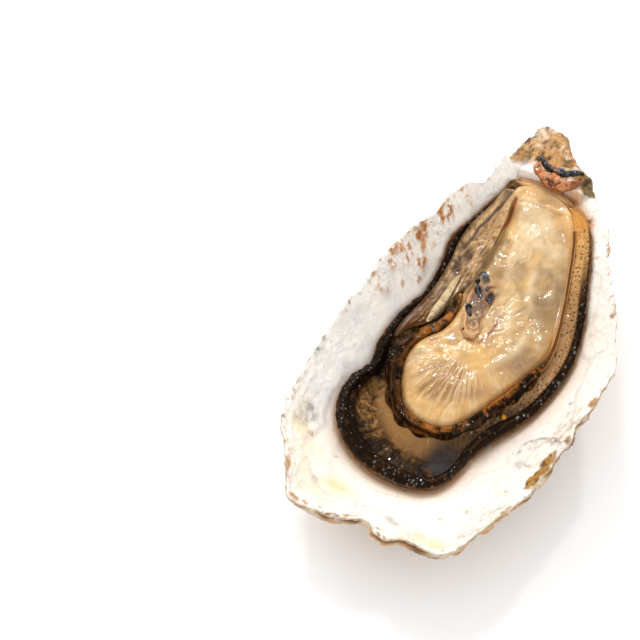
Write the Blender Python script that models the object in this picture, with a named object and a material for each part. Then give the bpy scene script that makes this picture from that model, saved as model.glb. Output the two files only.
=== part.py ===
"""A raw cupped oyster on its half shell.

The deep valve lies on its cupped side, opened side up, with the oyster's soft body in it.
X runs across the shell, Y from its frilled lip to its hinge, Z up, and the origin is under the
middle of the object, on the surface that it lies on. Named sizes are in millimetres.
"""

import itertools
import math

import bmesh
import bpy
import numpy as np

MM = 0.001
GAP = 0.35  # clear space between pieces that touch
EDGE = 0.5  # thickness of a soft piece along its very edge

# Middle of the shell's box, in the plan that the outlines below are drawn in
BOX_CENTRE = (-0.1, 0.4)

# Shell: the lip's outline and height, from the beak round by the right, (x, y, z)
RIM = [
    (-3.0, 55.0, 15.0), (3.0, 55.5, 15.0), (6.5, 49.0, 18.0), (11.5, 42.5, 21.0), (15.0, 36.0, 23.0),
    (21.0, 26.5, 25.0), (22.0, 20.5, 26.0), (25.5, 12.5, 26.5), (30.0, 2.0, 26.0), (31.0, -6.0, 25.5),
    (29.0, -15.5, 25.0), (26.5, -23.5, 24.0), (24.5, -30.5, 22.5), (22.5, -38.5, 23.0),
    (19.0, -43.5, 22.0), (14.5, -51.0, 20.5), (9.5, -55.0, 18.5), (2.5, -55.0, 20.0),
    (-2.0, -55.5, 18.0), (-7.0, -53.0, 18.5), (-16.0, -54.5, 17.5), (-24.0, -52.5, 17.5),
    (-27.0, -45.5, 19.5), (-30.5, -40.0, 21.0), (-31.0, -32.0, 22.0), (-30.0, -22.5, 23.5),
    (-28.0, -13.5, 25.0), (-25.5, -5.0, 26.0), (-23.5, 2.0, 27.0), (-20.5, 11.5, 26.5),
    (-16.0, 19.0, 26.0), (-14.5, 26.0, 26.0), (-9.0, 32.0, 25.0), (-7.0, 38.5, 24.5),
    (-5.0, 46.5, 19.0),
]
SHELL_SPINE = ((0.0, -16.0), (1.0, 6.0))
CUP_FLOOR = 5.0
CUP_POWER = 2.2
CUP_WAVE = (0.5, 15.0)  # height and size of the slow waves inside the cup
LIP = 1.3  # thickness of the shell at its lip
LIP_ROUGH = (0.7, 4.5)  # height and size of the lip's crags
FLAT_SHARE = 0.34  # share of the way to the lip that the flat underside reaches
OUTER_POWER = 1.35
LAMELLAE = 8
LAMELLA_HEIGHT = 1.3
LAMELLA_VARIES = (0.75, 6.0)  # share of the height, and lump size
LAMELLA_WANDER = (0.3, 13.0)  # share of the spacing, and lump size
LAMELLA_OVERHANG = 0.12  # share of the spacing that a leaf's foot tucks in by
LAMELLA_UNDERCUT = 0.25
OUTER_TOP_SHARE = 0.985

# Dents (below 0) and swellings in the cup's inner side, near the lip: (x, y, radius, height)
SHELL_RELIEF = [
    (21.5, -30.5, 3.4, -1.6), (24.5, -20.0, 2.6, -0.8), (17.0, -39.0, 3.0, -0.9),
    (12.0, -47.5, 2.8, -0.8), (-2.5, -50.5, 3.0, 0.9), (-8.0, -50.0, 3.2, -0.9),
    (-25.0, -13.0, 3.0, -0.9), (-25.5, -31.0, 3.4, -0.7), (-15.0, 21.5, 3.0, 0.9),
    (-8.5, 36.5, 2.6, 0.9), (24.0, 8.0, 4.0, 0.5), (-20.0, -46.0, 4.5, 0.6),
]

# Hinge plate and beak
HINGE_NORMAL = (0.12, 0.99)
HINGE_AT = 38.2  # distance of the hinge line along its normal
HINGE_STEP = 1.2  # run of the steep step up to the plate
PLATE_HEIGHT = 22.0
BEAK_REACH = 17.5
BEAK_DROP = 7.0
BEAK_ROUGH = (0.9, 3.2)

# Lower mantle: outline and width of its dark fringe, (x, y, width)
MANTLE = [
    (-2.6, 36.6, 1.2), (-5.6, 31.0, 1.4), (-8.4, 26.0, 1.6), (-11.9, 18.4, 1.8), (-12.8, 11.0, 1.8),
    (-14.1, 4.1, 1.8), (-17.3, -3.9, 2.0), (-18.9, -11.8, 2.4), (-18.9, -16.6, 2.8),
    (-21.7, -22.0, 3.6), (-22.3, -28.7, 4.0), (-20.5, -33.1, 4.0), (-17.0, -36.6, 4.0),
    (-10.4, -39.6, 3.8), (-2.6, -40.6, 3.4), (3.6, -38.6, 2.4), (7.1, -32.8, 2.0), (8.6, -27.8, 2.2),
    (12.6, -21.7, 2.6), (18.3, -15.0, 2.6), (22.2, -4.4, 2.2), (22.2, 5.0, 1.9), (20.0, 15.3, 1.7),
    (17.5, 25.9, 1.4), (14.4, 31.6, 1.3), (9.0, 35.4, 1.2), (3.1, 36.8, 1.2),
]
MANTLE_SPINE = ((-3.0, -22.0), (3.0, 18.0))
MANTLE_SHEET = 1.1
MANTLE_ROUND = 1.5  # run of the sheet's rounded edge
FRINGE_HEIGHT = 0.62  # of the fringe's width
COLLAR_LEVEL = 14.4  # height that the mantle rises to where it meets the body
COLLAR_REACH = 6.0
COLLAR_AT_HINGE = 2.4  # how much higher it rises beside the hinge plate

# Body: outline and run of its rounded edge, (x, y, run)
BODY = [
    (-1.6, 35.4, 4.0), (-2.9, 32.2, 4.0), (-2.7, 26.6, 4.5), (-3.2, 19.4, 4.5), (-4.4, 13.5, 4.0),
    (-5.3, 8.0, 3.5), (-5.5, 3.4, 3.5), (-5.9, -0.6, 3.0), (-7.3, -4.0, 3.0), (-9.7, -6.4, 3.2),
    (-11.5, -9.6, 3.5), (-12.1, -14.0, 4.0), (-11.0, -19.4, 4.5), (-8.3, -24.4, 5.0),
    (-3.4, -26.7, 5.5), (1.7, -25.8, 5.5), (5.9, -21.6, 5.5), (9.9, -15.2, 5.0), (13.7, -8.6, 5.0),
    (16.4, -3.0, 5.0), (17.0, 2.6, 5.0), (16.4, 9.3, 5.0), (15.2, 17.4, 5.0), (13.4, 26.6, 5.0),
    (10.6, 32.6, 4.5), (6.6, 35.2, 4.0), (2.4, 36.0, 4.0),
]
BODY_SPINE = ((-2.0, -13.0), (5.0, 25.0))
BODY_LEVEL = 17.3
BODY_RISE = 2.2  # how much higher the body's top is at the hinge than at its foot
BODY_RISE_RUN = (8.0, 36.0)
BODY_RELIEF = [
    (5.0, 20.0, 7.0, 0.8), (4.0, -6.0, 6.0, 0.5), (-5.0, -16.0, 5.0, 0.9), (12.0, 4.0, 4.0, -0.6),
    (9.0, -4.0, 3.5, 0.5), (-1.5, 4.0, 5.5, -1.3), (1.0, 28.0, 4.0, 0.5), (9.5, 29.0, 3.5, -0.6),
    (9.0, 13.0, 3.5, -0.5), (-7.0, -8.0, 4.0, -0.5), (1.5, -18.0, 5.0, 0.4),
]

# Upper mantle: the dark frill that hugs the body, as shares of the way round its outline and widths
FRILL = [
    (0.205, 0.8), (0.230, 1.4), (0.262, 1.8), (0.300, 2.0), (0.325, 2.6), (0.350, 3.6), (0.385, 3.6),
    (0.430, 2.8), (0.480, 2.2), (0.530, 2.3), (0.580, 2.6), (0.625, 2.7), (0.665, 1.5), (0.720, 1.0),
    (0.800, 0.9), (0.880, 0.8),
]
FRILL_HEIGHT = 2.2
FRILL_CURL = (0.28, 5.2)  # share of the width, and length of one curl
CURL_DRIFT = (2.0, 9.0)

# Gills: outline of the pleated leaf between fringe and body
GILLS = [
    (-4.5, 31.2), (-6.2, 27.6), (-8.8, 22.4), (-10.3, 17.5), (-10.8, 13.4), (-11.4, 9.5),
    (-12.2, 5.6), (-13.2, 2.0), (-14.8, -2.6), (-15.9, -6.4), (-16.3, -9.2), (-15.5, -8.5),
    (-13.9, -5.6), (-11.4, -3.0), (-9.3, -0.6), (-8.0, 2.8), (-6.8, 7.0), (-5.8, 13.5), (-4.9, 19.4),
    (-4.4, 26.0),
]
GILLS_SPINE = ((-15.3, -7.0), (-4.8, 28.0))
GILLS_THICK = 2.0
PLEAT = (0.35, 2.6)  # height and spacing of the gills' pleats

# Pale edge of the gills, ligament and resilium: paths with widths, (x, y, width)
GILL_EDGE = [
    (-10.9, -2.6, 0.8), (-10.1, 0.0, 2.0), (-9.3, 2.8, 2.4), (-8.7, 5.6, 2.2), (-8.2, 8.6, 1.8),
    (-7.8, 10.2, 0.7),
]
GILL_EDGE_HEIGHT = 1.3
LIGAMENT = [
    (0.3, 41.4, 0.9), (0.6, 39.6, 2.0), (2.4, 38.0, 2.8), (5.0, 37.2, 3.2), (7.8, 37.2, 3.0),
    (9.8, 38.6, 2.4), (10.8, 40.4, 1.0),
]
LIGAMENT_HEIGHT = 1.5
RESILIUM = [
    (-0.4, 43.2, 0.7), (1.6, 41.9, 1.5), (4.2, 40.6, 1.9), (6.8, 40.6, 1.7), (9.2, 42.0, 1.3),
    (10.6, 42.6, 0.6),
]
RESILIUM_HEIGHT = 1.1

# Cut adductor muscle with the torn skin round it: outline
ADDUCTOR = [
    (-3.9, 10.6), (-3.2, 12.4), (-1.8, 12.1), (-0.2, 10.6), (1.2, 8.8), (1.7, 6.6), (0.9, 3.8),
    (0.8, 0.6), (1.5, -2.2), (0.6, -4.7), (-1.4, -5.2), (-3.0, -3.4), (-3.6, -0.6), (-4.1, 2.4),
    (-4.4, 5.4), (-4.3, 8.2),
]
ADDUCTOR_SPINE = ((-1.2, -1.0), (-1.8, 8.0))
ADDUCTOR_THICK = 1.2
ADDUCTOR_PITS = [
    (-1.9, 10.3, 1.1, -0.6), (-1.9, 7.0, 1.0, -0.7), (0.5, 7.0, 1.0, -0.7), (-2.7, 1.9, 0.9, -0.5),
]

# Mesh steps
SHELL_AROUND = 80
SHELL_INNER = (0.22, 0.38, 0.51, 0.62, 0.71, 0.79, 0.86, 0.92, 0.955, 0.98, 1.0)
STEP_RINGS = (0.86, 0.92)  # the rings that turn along the foot and the top of the step
LAMELLA_STEPS = (0.0, 0.55, 1.0)
MANTLE_AROUND = 72
BODY_AROUND = 60
GILLS_AROUND = 40
ADDUCTOR_AROUND = 26
FRILL_STATIONS = 72
INNER_SHARES = (0.72, 0.42, 0.15)
MANTLE_INSETS = (0, 0.5, 1.2, 2.0, 3.0, 4.2, 6.2)
BODY_INSETS = (0, 0.25, 0.9, 2.2, 4.2, 7.0)
GILLS_INSETS = (0, 0.35, 0.9, 1.6)
ADDUCTOR_INSETS = (0, 0.4, 1.0, 1.8)

# Colour, roughness
MATERIALS = {
    "shell": ((0.80, 0.74, 0.64), 0.45),
    "mantle_lower": ((0.035, 0.026, 0.020), 0.22),
    "mantle_upper": ((0.075, 0.036, 0.014), 0.22),
    "body": ((0.62, 0.47, 0.27), 0.25),
    "gills": ((0.23, 0.17, 0.10), 0.28),
    "gill_edge": ((0.66, 0.58, 0.42), 0.28),
    "adductor": ((0.36, 0.27, 0.21), 0.28),
    "ligament": ((0.36, 0.13, 0.035), 0.40),
    "resilium": ((0.035, 0.040, 0.055), 0.30),
}


# Plain helpers

def ramp(value, low, high):
    """0 below low, 1 above high, and smooth in between."""
    t = np.clip((value - low) / (high - low), 0.0, 1.0)
    return t * t * (3 - 2 * t)


def grain(x, y, z, size, seed=0):
    """Smooth noise from -1 to 1, with lumps of this size."""
    place = np.stack(np.broadcast_arrays(x, y, z)).astype(float) / size + 19.7 * seed + 311.0
    cell = np.floor(place).astype(np.int64)
    part = place - cell
    part = part * part * (3 - 2 * part)
    total = np.zeros(place.shape[1:])
    for corner in itertools.product((0, 1), repeat=3):
        a, b, c = (cell[axis] + corner[axis] for axis in range(3))
        mixed = (a * 73856093) ^ (b * 19349663) ^ (c * 83492791)
        mixed = ((mixed ^ (mixed >> 13)) * 1274126177) & 0x7FFFFFFF
        mixed = ((mixed ^ (mixed >> 16)) * 668265263) & 0x7FFFFFFF
        weight = np.ones(place.shape[1:])
        for axis in range(3):
            weight = weight * (part[axis] if corner[axis] else 1 - part[axis])
        total += weight * (mixed / 0x3FFFFFFF - 1)
    return total


def swell(x, y, relief):
    """Height that round dents and swellings add at a place."""
    total = np.zeros(np.shape(x))
    for centre_x, centre_y, radius, height in relief:
        apart = ((x - centre_x) ** 2 + (y - centre_y) ** 2) / radius**2
        total = total + height * np.exp(-apart)
    return total


def smooth_curve(points, steps, closed):
    """A Catmull-Rom curve through the points."""
    points = np.array(points, float)
    if closed:
        ring = np.concatenate([points[-1:], points, points[:2]])
    else:
        ring = np.concatenate([2 * points[:1] - points[1:2], points, 2 * points[-1:] - points[-2:-1]])
    t = np.linspace(0, 1, steps, endpoint=False)[:, None]
    spans = []
    for a, b, c, d in zip(ring, ring[1:], ring[2:], ring[3:]):
        square = 2 * a - 5 * b + 4 * c - d
        cube = 3 * b - a - 3 * c + d
        spans.append(0.5 * (2 * b + (c - a) * t + square * t**2 + cube * t**3))
    if not closed:
        spans.append(points[-1:])
    return np.concatenate(spans)


def evenly(curve, count, closed):
    """Points at equal steps along a curve, measured in plan."""
    if closed:
        curve = np.concatenate([curve, curve[:1]])
    step = np.hypot(*np.diff(curve[:, :2], axis=0).T)
    along = np.concatenate([[0], np.cumsum(step)])
    wanted = np.linspace(0, along[-1], count, endpoint=not closed)
    return np.stack([np.interp(wanted, along, column) for column in curve.T], axis=1)


def normals(curve, closed):
    """Unit normals in plan, to the right of the way along."""
    if closed:
        ahead, behind = np.roll(curve, -1, axis=0), np.roll(curve, 1, axis=0)
    else:
        ahead = np.concatenate([curve[1:], curve[-1:]])
        behind = np.concatenate([curve[:1], curve[:-1]])
    way = (ahead - behind)[:, :2]
    way = way / np.linalg.norm(way, axis=1)[:, None]
    return np.stack([way[:, 1], -way[:, 0]], axis=1)


class Outline:
    """A closed curve in plan, with a third value at each point, and the spine that its rings close on."""

    SAMPLE = 0.45
    SOFTEN = 0.0004  # keeps the weight of a place on the curve itself finite
    BATCH = 4000
    LEAST_FACING = 0.45
    MOST_TRAVEL = 0.8  # share of the way to the spine

    def __init__(self, points, spine):
        points = [tuple(p) + (0.0,) * (3 - len(p)) for p in points]
        curve = smooth_curve(points, 24, True)
        length = np.hypot(*(np.roll(curve, -1, axis=0) - curve)[:, :2].T).sum()
        self.curve = evenly(curve, int(length / self.SAMPLE), True)
        self.step = length / len(self.curve)
        self.spine = np.array(spine, float)

    def near(self, x, y):
        """Distance to the curve, smooth across the middle, and the curve's third value nearby."""
        x, y = np.asarray(x, float), np.asarray(y, float)
        place = np.stack([x.ravel(), y.ravel()], axis=1)
        distance, value = np.empty(len(place)), np.empty(len(place))
        for start in range(0, len(place), self.BATCH):
            batch = slice(start, start + self.BATCH)
            apart = ((place[batch, None] - self.curve[None, :, :2]) ** 2).sum(2) + self.SOFTEN
            weight = self.step / apart**2
            total = weight.sum(1)
            distance[batch] = (total / (math.pi / 2)) ** (-1 / 3)
            value[batch] = weight @ self.curve[:, 2] / total
        return distance.reshape(x.shape), value.reshape(x.shape)

    def holds(self, x, y):
        """True at places inside the curve."""
        found = np.zeros(np.shape(x), bool)
        for (ax, ay), (bx, by) in zip(self.curve[:, :2], np.roll(self.curve[:, :2], -1, axis=0)):
            if ay != by:
                found ^= ((ay > y) != (by > y)) & (x < ax + (y - ay) * (bx - ax) / (by - ay))
        return found

    def share(self, x, y):
        """How far out a place lies, from 0 on the spine to 1 on the curve, and the third value there."""
        distance, value = self.near(x, y)
        (ax, ay), (bx, by) = self.spine
        t = ((x - ax) * (bx - ax) + (y - ay) * (by - ay)) / ((bx - ax) ** 2 + (by - ay) ** 2)
        t = np.clip(t, 0, 1)
        from_spine = np.hypot(x - ax - t * (bx - ax), y - ay - t * (by - ay))
        return from_spine / (from_spine + distance), value

    def middle(self, points):
        """The point on the spine that each point of the curve draws in to."""
        low, high = self.curve[:, 1].min(), self.curve[:, 1].max()
        t = ((points[:, 1] - low) / (high - low))[:, None]
        return self.spine[0] * (1 - t) + self.spine[1] * t

    def drawn_in(self, points, share):
        """The points moved to a share of the way from the spine."""
        middle = self.middle(points)
        return middle + (points[:, :2] - middle) * share

    def inset(self, points, distance):
        """The points moved in from the curve by a distance."""
        way = self.middle(points) - points[:, :2]
        reach = np.linalg.norm(way, axis=1)
        way = way / reach[:, None]
        facing = np.abs((way * normals(points, True)).sum(1))
        travel = np.minimum(distance / np.maximum(facing, self.LEAST_FACING), self.MOST_TRAVEL * reach)
        return points[:, :2] + way * travel[:, None]


SHELL_OUTLINE = Outline(RIM, SHELL_SPINE)
MANTLE_OUTLINE = Outline(MANTLE, MANTLE_SPINE)
BODY_OUTLINE = Outline(BODY, BODY_SPINE)
GILLS_OUTLINE = Outline(GILLS, GILLS_SPINE)
ADDUCTOR_OUTLINE = Outline(ADDUCTOR, ADDUCTOR_SPINE)


# Heights of each layer's upper side

def past_hinge(x, y):
    """Distance beyond the hinge line, towards the beak."""
    return x * HINGE_NORMAL[0] + y * HINGE_NORMAL[1] - HINGE_AT


def shell_inside(x, y):
    """The cup's inner side, the step at the hinge and the beak's rough top."""
    share, rim = SHELL_OUTLINE.share(x, y)
    cup = CUP_FLOOR + (rim - CUP_FLOOR) * np.maximum(share, SHELL_INNER[0]) ** CUP_POWER
    cup = cup + CUP_WAVE[0] * grain(x, y, 0, CUP_WAVE[1]) * ramp(share, 0.2, 0.6)
    cup = cup + swell(x, y, SHELL_RELIEF)
    beyond = past_hinge(x, y)
    plate = PLATE_HEIGHT - BEAK_DROP * np.clip(beyond / BEAK_REACH, 0, 1) ** 1.5
    plate = plate + BEAK_ROUGH[0] * grain(x, y, 5, BEAK_ROUGH[1]) * ramp(beyond, 0, 4)
    on_plate = ramp(beyond, -HINGE_STEP, 0)
    return cup * (1 - on_plate) + plate * on_plate


def plate_bed(x, y):
    """The hinge plate, carried on level over the end of the cup."""
    return np.maximum(highest(shell_inside, 1.2)(x, y), PLATE_HEIGHT + 0.3)


def hinge_shares(middle, rim):
    """How far along each way out to the lip the step's foot and top lie, at most at their own rings."""
    from_middle, from_rim = past_hinge(*middle.T), past_hinge(*rim.T)
    found = []
    for level, ring in zip((-HINGE_STEP, 0), STEP_RINGS):
        crossing = (level - from_middle) / (from_rim - from_middle)
        found.append(np.where(from_rim > level, np.minimum(crossing, ring), ring))
    return found


def mantle_bed(x, y):
    """The lower mantle's underside, clear of the cup."""
    inside, _ = MANTLE_OUTLINE.near(x, y)
    return shell_inside(x, y) + GAP + 0.3 * ramp(inside, 1, 6)


def mantle_top(x, y):
    """The lower mantle: a sheet with a thick fringe along its outline, raised under the body."""
    inside, width = MANTLE_OUTLINE.near(x, y)
    sheet = MANTLE_SHEET * ramp(inside, 0, MANTLE_ROUND)
    across = np.clip((inside - 0.5 * width) / (0.55 * width), -1, 1)
    fringe = FRINGE_HEIGHT * width * (1 - across**2) ** 0.8
    top = mantle_bed(x, y) + EDGE + sheet + fringe
    to_body, _ = BODY_OUTLINE.near(x, y)
    collar = COLLAR_LEVEL + BODY_RISE * ramp(y, *BODY_RISE_RUN)
    collar = collar + COLLAR_AT_HINGE * ramp(past_hinge(x, y), -4, -2)
    raised = np.where(BODY_OUTLINE.holds(x, y), 1.0, 1 - ramp(to_body, 0.5, COLLAR_REACH))
    return top + np.maximum(collar - top, 0) * raised


def body_bed(x, y):
    """The body's underside, clear of the lower mantle."""
    return highest(mantle_top, 1.5)(x, y) + GAP


def body_top(x, y):
    """The body: a soft rounded edge up to a gently lumpy top."""
    inside, run = BODY_OUTLINE.near(x, y)
    bed = body_bed(x, y)
    level = BODY_LEVEL + BODY_RISE * ramp(y, *BODY_RISE_RUN) + swell(x, y, BODY_RELIEF)
    rise = np.maximum(level - bed - EDGE, 1.0)
    rounded = np.sqrt(1 - (1 - np.clip(inside / run, 0, 1)) ** 2)
    return bed + EDGE + rise * rounded


def gills_bed(x, y):
    """The gills' underside, clear of the lower mantle."""
    return highest(mantle_top, 1.2)(x, y) + GAP


def gills_top(x, y):
    """The gills: a leaf with pleats along it."""
    inside, _ = GILLS_OUTLINE.near(x, y)
    thick = GILLS_THICK * ramp(inside, -0.6, 1.8)
    pleats = PLEAT[0] * np.cos(2 * math.pi * inside / PLEAT[1]) * ramp(inside, 0.2, 1.0)
    return gills_bed(x, y) + EDGE + thick + pleats


def adductor_top(x, y):
    """The cut muscle: a low disc with torn pits."""
    inside, _ = ADDUCTOR_OUTLINE.near(x, y)
    return body_top(x, y) + GAP + EDGE + ADDUCTOR_THICK * ramp(inside, 0, 1.6) + swell(x, y, ADDUCTOR_PITS)


def highest(top, reach):
    """A height function for the highest that top comes within this reach of a place."""
    turns = np.linspace(0, 2 * math.pi, 8, endpoint=False)
    around = [(0, 0), *zip(reach * np.cos(turns), reach * np.sin(turns))]
    return lambda x, y: np.max([top(x + dx, y + dy) for dx, dy in around], axis=0)


# Solids

def finish(name, mesh):
    """Puts a mesh in the scene as a smooth object with its own material."""
    mesh.shade_smooth()
    mesh.set_sharp_from_angle(angle=math.radians(50))
    colour, roughness = MATERIALS[name]
    material = bpy.data.materials.new(name)
    material.use_nodes = True
    surface = material.node_tree.nodes["Principled BSDF"]
    surface.inputs["Base Color"].default_value = (*colour, 1.0)
    surface.inputs["Roughness"].default_value = roughness
    surface.inputs["Metallic"].default_value = 0.0
    mesh.materials.append(material)
    made = bpy.data.objects.new(name, mesh)
    bpy.context.scene.collection.objects.link(made)
    return made


def skin(name, rings):
    """A closed solid through rings of points in mm, with its first and last rings filled."""
    build = bmesh.new()
    centre = np.array([*BOX_CENTRE, 0.0])
    rows = [[build.verts.new((point - centre) * MM) for point in ring] for ring in rings]
    for above, below in zip(rows, rows[1:]):
        for i in range(len(above)):
            j = (i + 1) % len(above)
            build.faces.new((above[i], above[j], below[j], below[i]))
    build.faces.new(rows[0])
    build.faces.new(rows[-1])
    bmesh.ops.triangulate(build, faces=[f for f in build.faces if len(f.verts) > 4])
    bmesh.ops.recalc_face_normals(build, faces=build.faces)
    mesh = bpy.data.meshes.new(name)
    build.to_mesh(mesh)
    build.free()
    return finish(name, mesh)


def laid(name, outline, around, insets, top, bottom):
    """A soft piece over an outline, between the heights that top and bottom give."""
    edge = evenly(outline.curve, around, True)
    plans = [outline.inset(edge, distance) for distance in insets]
    inner = np.concatenate([plans[-1], edge[:, 2:]], axis=1)
    plans += [outline.drawn_in(inner, share) for share in INNER_SHARES]
    over = [np.column_stack([plan, top(*plan.T)]) for plan in reversed(plans)]
    under_plans = [plans[0], plans[2], *plans[-len(INNER_SHARES):]]
    under = [np.column_stack([plan, bottom(*plan.T)]) for plan in under_plans]
    return skin(name, over + under)


def ribbon(name, path, bed, height, stations):
    """A rounded strip along a path of (x, y, width), lying on the height that bed gives."""
    line = evenly(path, stations, False)
    side = normals(line, False)
    across = np.array([-1, -0.86, -0.5, 0, 0.5, 0.86, 1])
    sections = []
    for point, aside in zip(line, side):
        place = point[:2] + aside * across[:, None] * point[2] / 2
        floor = bed(*place.T) + GAP
        crown = EDGE * 0.6 + height * point[2] / max(path[:, 2]) * np.sqrt(1 - 0.98 * across**2)
        over = np.column_stack([place, floor + crown])
        under = np.column_stack([place, floor])[::-1][::2]
        sections.append(np.concatenate([over, under]))
    return skin(name, sections)


def shell():
    """The cupped valve, from the middle of its inner side over the lip and down its leafed outside."""
    rim = evenly(SHELL_OUTLINE.curve, SHELL_AROUND, True)
    outward = normals(rim, True)
    middle = SHELL_OUTLINE.middle(rim)
    outward *= np.sign(((rim[:, :2] - middle) * outward).sum(1))[:, None]
    crag = LIP_ROUGH[0] * grain(rim[:, 0], rim[:, 1], 0, LIP_ROUGH[1], 3)
    rim[:, :2] += outward * crag[:, None]
    foot, top = hinge_shares(middle, rim[:, :2])
    rings = []
    for ring in SHELL_INNER:
        share = [np.interp(ring, (0, *STEP_RINGS, 1), (0, low, high, 1)) for low, high in zip(foot, top)]
        plan = middle + (rim[:, :2] - middle) * np.array(share)[:, None]
        rings.append(np.column_stack([plan, shell_inside(*plan.T)]))
    lip_height = rings[-1][:, 2]
    spacing = (OUTER_TOP_SHARE - FLAT_SHARE) / LAMELLAE
    for number in reversed(range(LAMELLAE)):
        wander = LAMELLA_WANDER[0] * spacing * grain(rim[:, 0], rim[:, 1], 9 * number, LAMELLA_WANDER[1], 5)
        if number == LAMELLAE - 1:
            wander = 0 * wander
        uneven = 1 + grain(rim[:, 0], rim[:, 1], 7 * number, LAMELLA_VARIES[1], 7)
        flare = LAMELLA_HEIGHT * LAMELLA_VARIES[0] * uneven
        for t in reversed(LAMELLA_STEPS):
            tucked = LAMELLA_OVERHANG if t == 0 else 0
            share = FLAT_SHARE + (number + t - tucked) * spacing + wander
            share = np.clip(share, FLAT_SHARE + 0.004 * (1 + number + t), None)
            climb = np.clip((share - FLAT_SHARE) / (1 - FLAT_SHARE), 0, 1)
            height = (lip_height - LIP) * climb**OUTER_POWER
            plan = middle + (rim[:, :2] - middle) * share[:, None]
            lift = flare * t**2 - LAMELLA_UNDERCUT
            lift = np.minimum(lift, 0.55 * height)
            plan = plan + outward * (0.8 * lift)[:, None] * ramp(climb, 0.02, 0.2)[:, None]
            if number == LAMELLAE - 1 and t == LAMELLA_STEPS[-1]:
                plan = rim[:, :2]
                height = lip_height - LIP
                lift = np.zeros(len(rim))
            rings.append(np.column_stack([plan, np.maximum(height - 0.5 * lift, 0.02)]))
    foot = middle + (rim[:, :2] - middle) * FLAT_SHARE
    rings.append(np.column_stack([foot, np.zeros(len(rim))]))
    rings.append(np.column_stack([middle + (foot - middle) * 0.4, np.zeros(len(rim))]))
    return skin("shell", rings)


def frill_path():
    """The upper mantle's path round the body, just clear of it, with its curling width."""
    curve = evenly(BODY_OUTLINE.curve, 600, True)
    outward = normals(curve, True)
    middle = BODY_OUTLINE.middle(curve)
    outward *= np.sign(((curve[:, :2] - middle) * outward).sum(1))[:, None]
    shares = np.arange(600) / 600
    width = np.interp(shares, *zip(*FRILL))
    length = BODY_OUTLINE.step * len(BODY_OUTLINE.curve)
    drift = CURL_DRIFT[0] * grain(curve[:, 0], curve[:, 1], 0, CURL_DRIFT[1])
    curl = np.sin(2 * math.pi * shares * length / FRILL_CURL[1] + drift)
    width = width * (1 + FRILL_CURL[0] * curl)
    chosen = (shares >= FRILL[0][0]) & (shares <= FRILL[-1][0])
    plan = curve[:, :2] + outward * (GAP + 0.15 + width / 2)[:, None]
    return np.column_stack([plan, width])[chosen]


def adductor_bed(x, y):
    """The cut muscle's underside, clear of the body."""
    return body_top(x, y) + GAP


def main():
    for old in list(bpy.data.objects):
        bpy.data.objects.remove(old)
    shell()
    laid("mantle_lower", MANTLE_OUTLINE, MANTLE_AROUND, MANTLE_INSETS, mantle_top, mantle_bed)
    laid("body", BODY_OUTLINE, BODY_AROUND, BODY_INSETS, body_top, body_bed)
    laid("gills", GILLS_OUTLINE, GILLS_AROUND, GILLS_INSETS, gills_top, gills_bed)
    laid("adductor", ADDUCTOR_OUTLINE, ADDUCTOR_AROUND, ADDUCTOR_INSETS, adductor_top, adductor_bed)
    frill_bed = highest(mantle_top, 2.1)
    edge_bed = highest(gills_top, 0.7)
    resilium_bed = highest(shell_inside, 0.8)
    ribbon("mantle_upper", frill_path(), frill_bed, FRILL_HEIGHT, FRILL_STATIONS)
    ribbon("gill_edge", smooth_curve(GILL_EDGE, 12, False), edge_bed, GILL_EDGE_HEIGHT, 12)
    ribbon("ligament", smooth_curve(LIGAMENT, 12, False), plate_bed, LIGAMENT_HEIGHT, 18)
    ribbon("resilium", smooth_curve(RESILIUM, 12, False), resilium_bed, RESILIUM_HEIGHT, 16)


main()
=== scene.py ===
"""Looks for a raw cupped oyster on its half shell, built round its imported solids.

Every solid is replaced by a finer piece of the same form, made of rings of points whose places and
colours are worked out from the named sizes below. X runs across the shell, Y from its lip to its
hinge and Z up. Named sizes are in millimetres, and named colours are sRGB from 0 to 255.
"""

import itertools
import math

import bpy
import numpy as np
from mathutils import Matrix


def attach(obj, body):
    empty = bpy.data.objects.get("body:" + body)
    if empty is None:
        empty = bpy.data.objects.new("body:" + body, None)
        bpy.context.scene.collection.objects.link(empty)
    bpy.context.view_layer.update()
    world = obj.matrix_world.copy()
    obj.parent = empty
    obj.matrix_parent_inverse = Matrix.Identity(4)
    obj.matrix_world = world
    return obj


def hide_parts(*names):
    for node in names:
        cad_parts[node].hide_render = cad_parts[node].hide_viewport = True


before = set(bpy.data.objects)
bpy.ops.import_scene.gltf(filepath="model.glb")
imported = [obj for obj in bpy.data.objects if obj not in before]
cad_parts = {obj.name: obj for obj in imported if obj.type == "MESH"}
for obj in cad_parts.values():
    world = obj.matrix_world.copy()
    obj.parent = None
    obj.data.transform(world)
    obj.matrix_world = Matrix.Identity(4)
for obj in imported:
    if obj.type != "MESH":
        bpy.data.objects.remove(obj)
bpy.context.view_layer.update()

MM = 0.001
FINE = 1.0  # share of the points round each ring
GAP = 0.35  # between two solids
EDGE = 0.5  # thickness of a solid at its edge
EDGE_DEPTH = 0.02  # depth that a ring right on an outline counts as
BOX_CENTRE = (-0.1, 0.4)  # middle of the outlines' box in plan, which the part moves to the origin

# Outlines and sizes of the solids, as in the part

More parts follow.
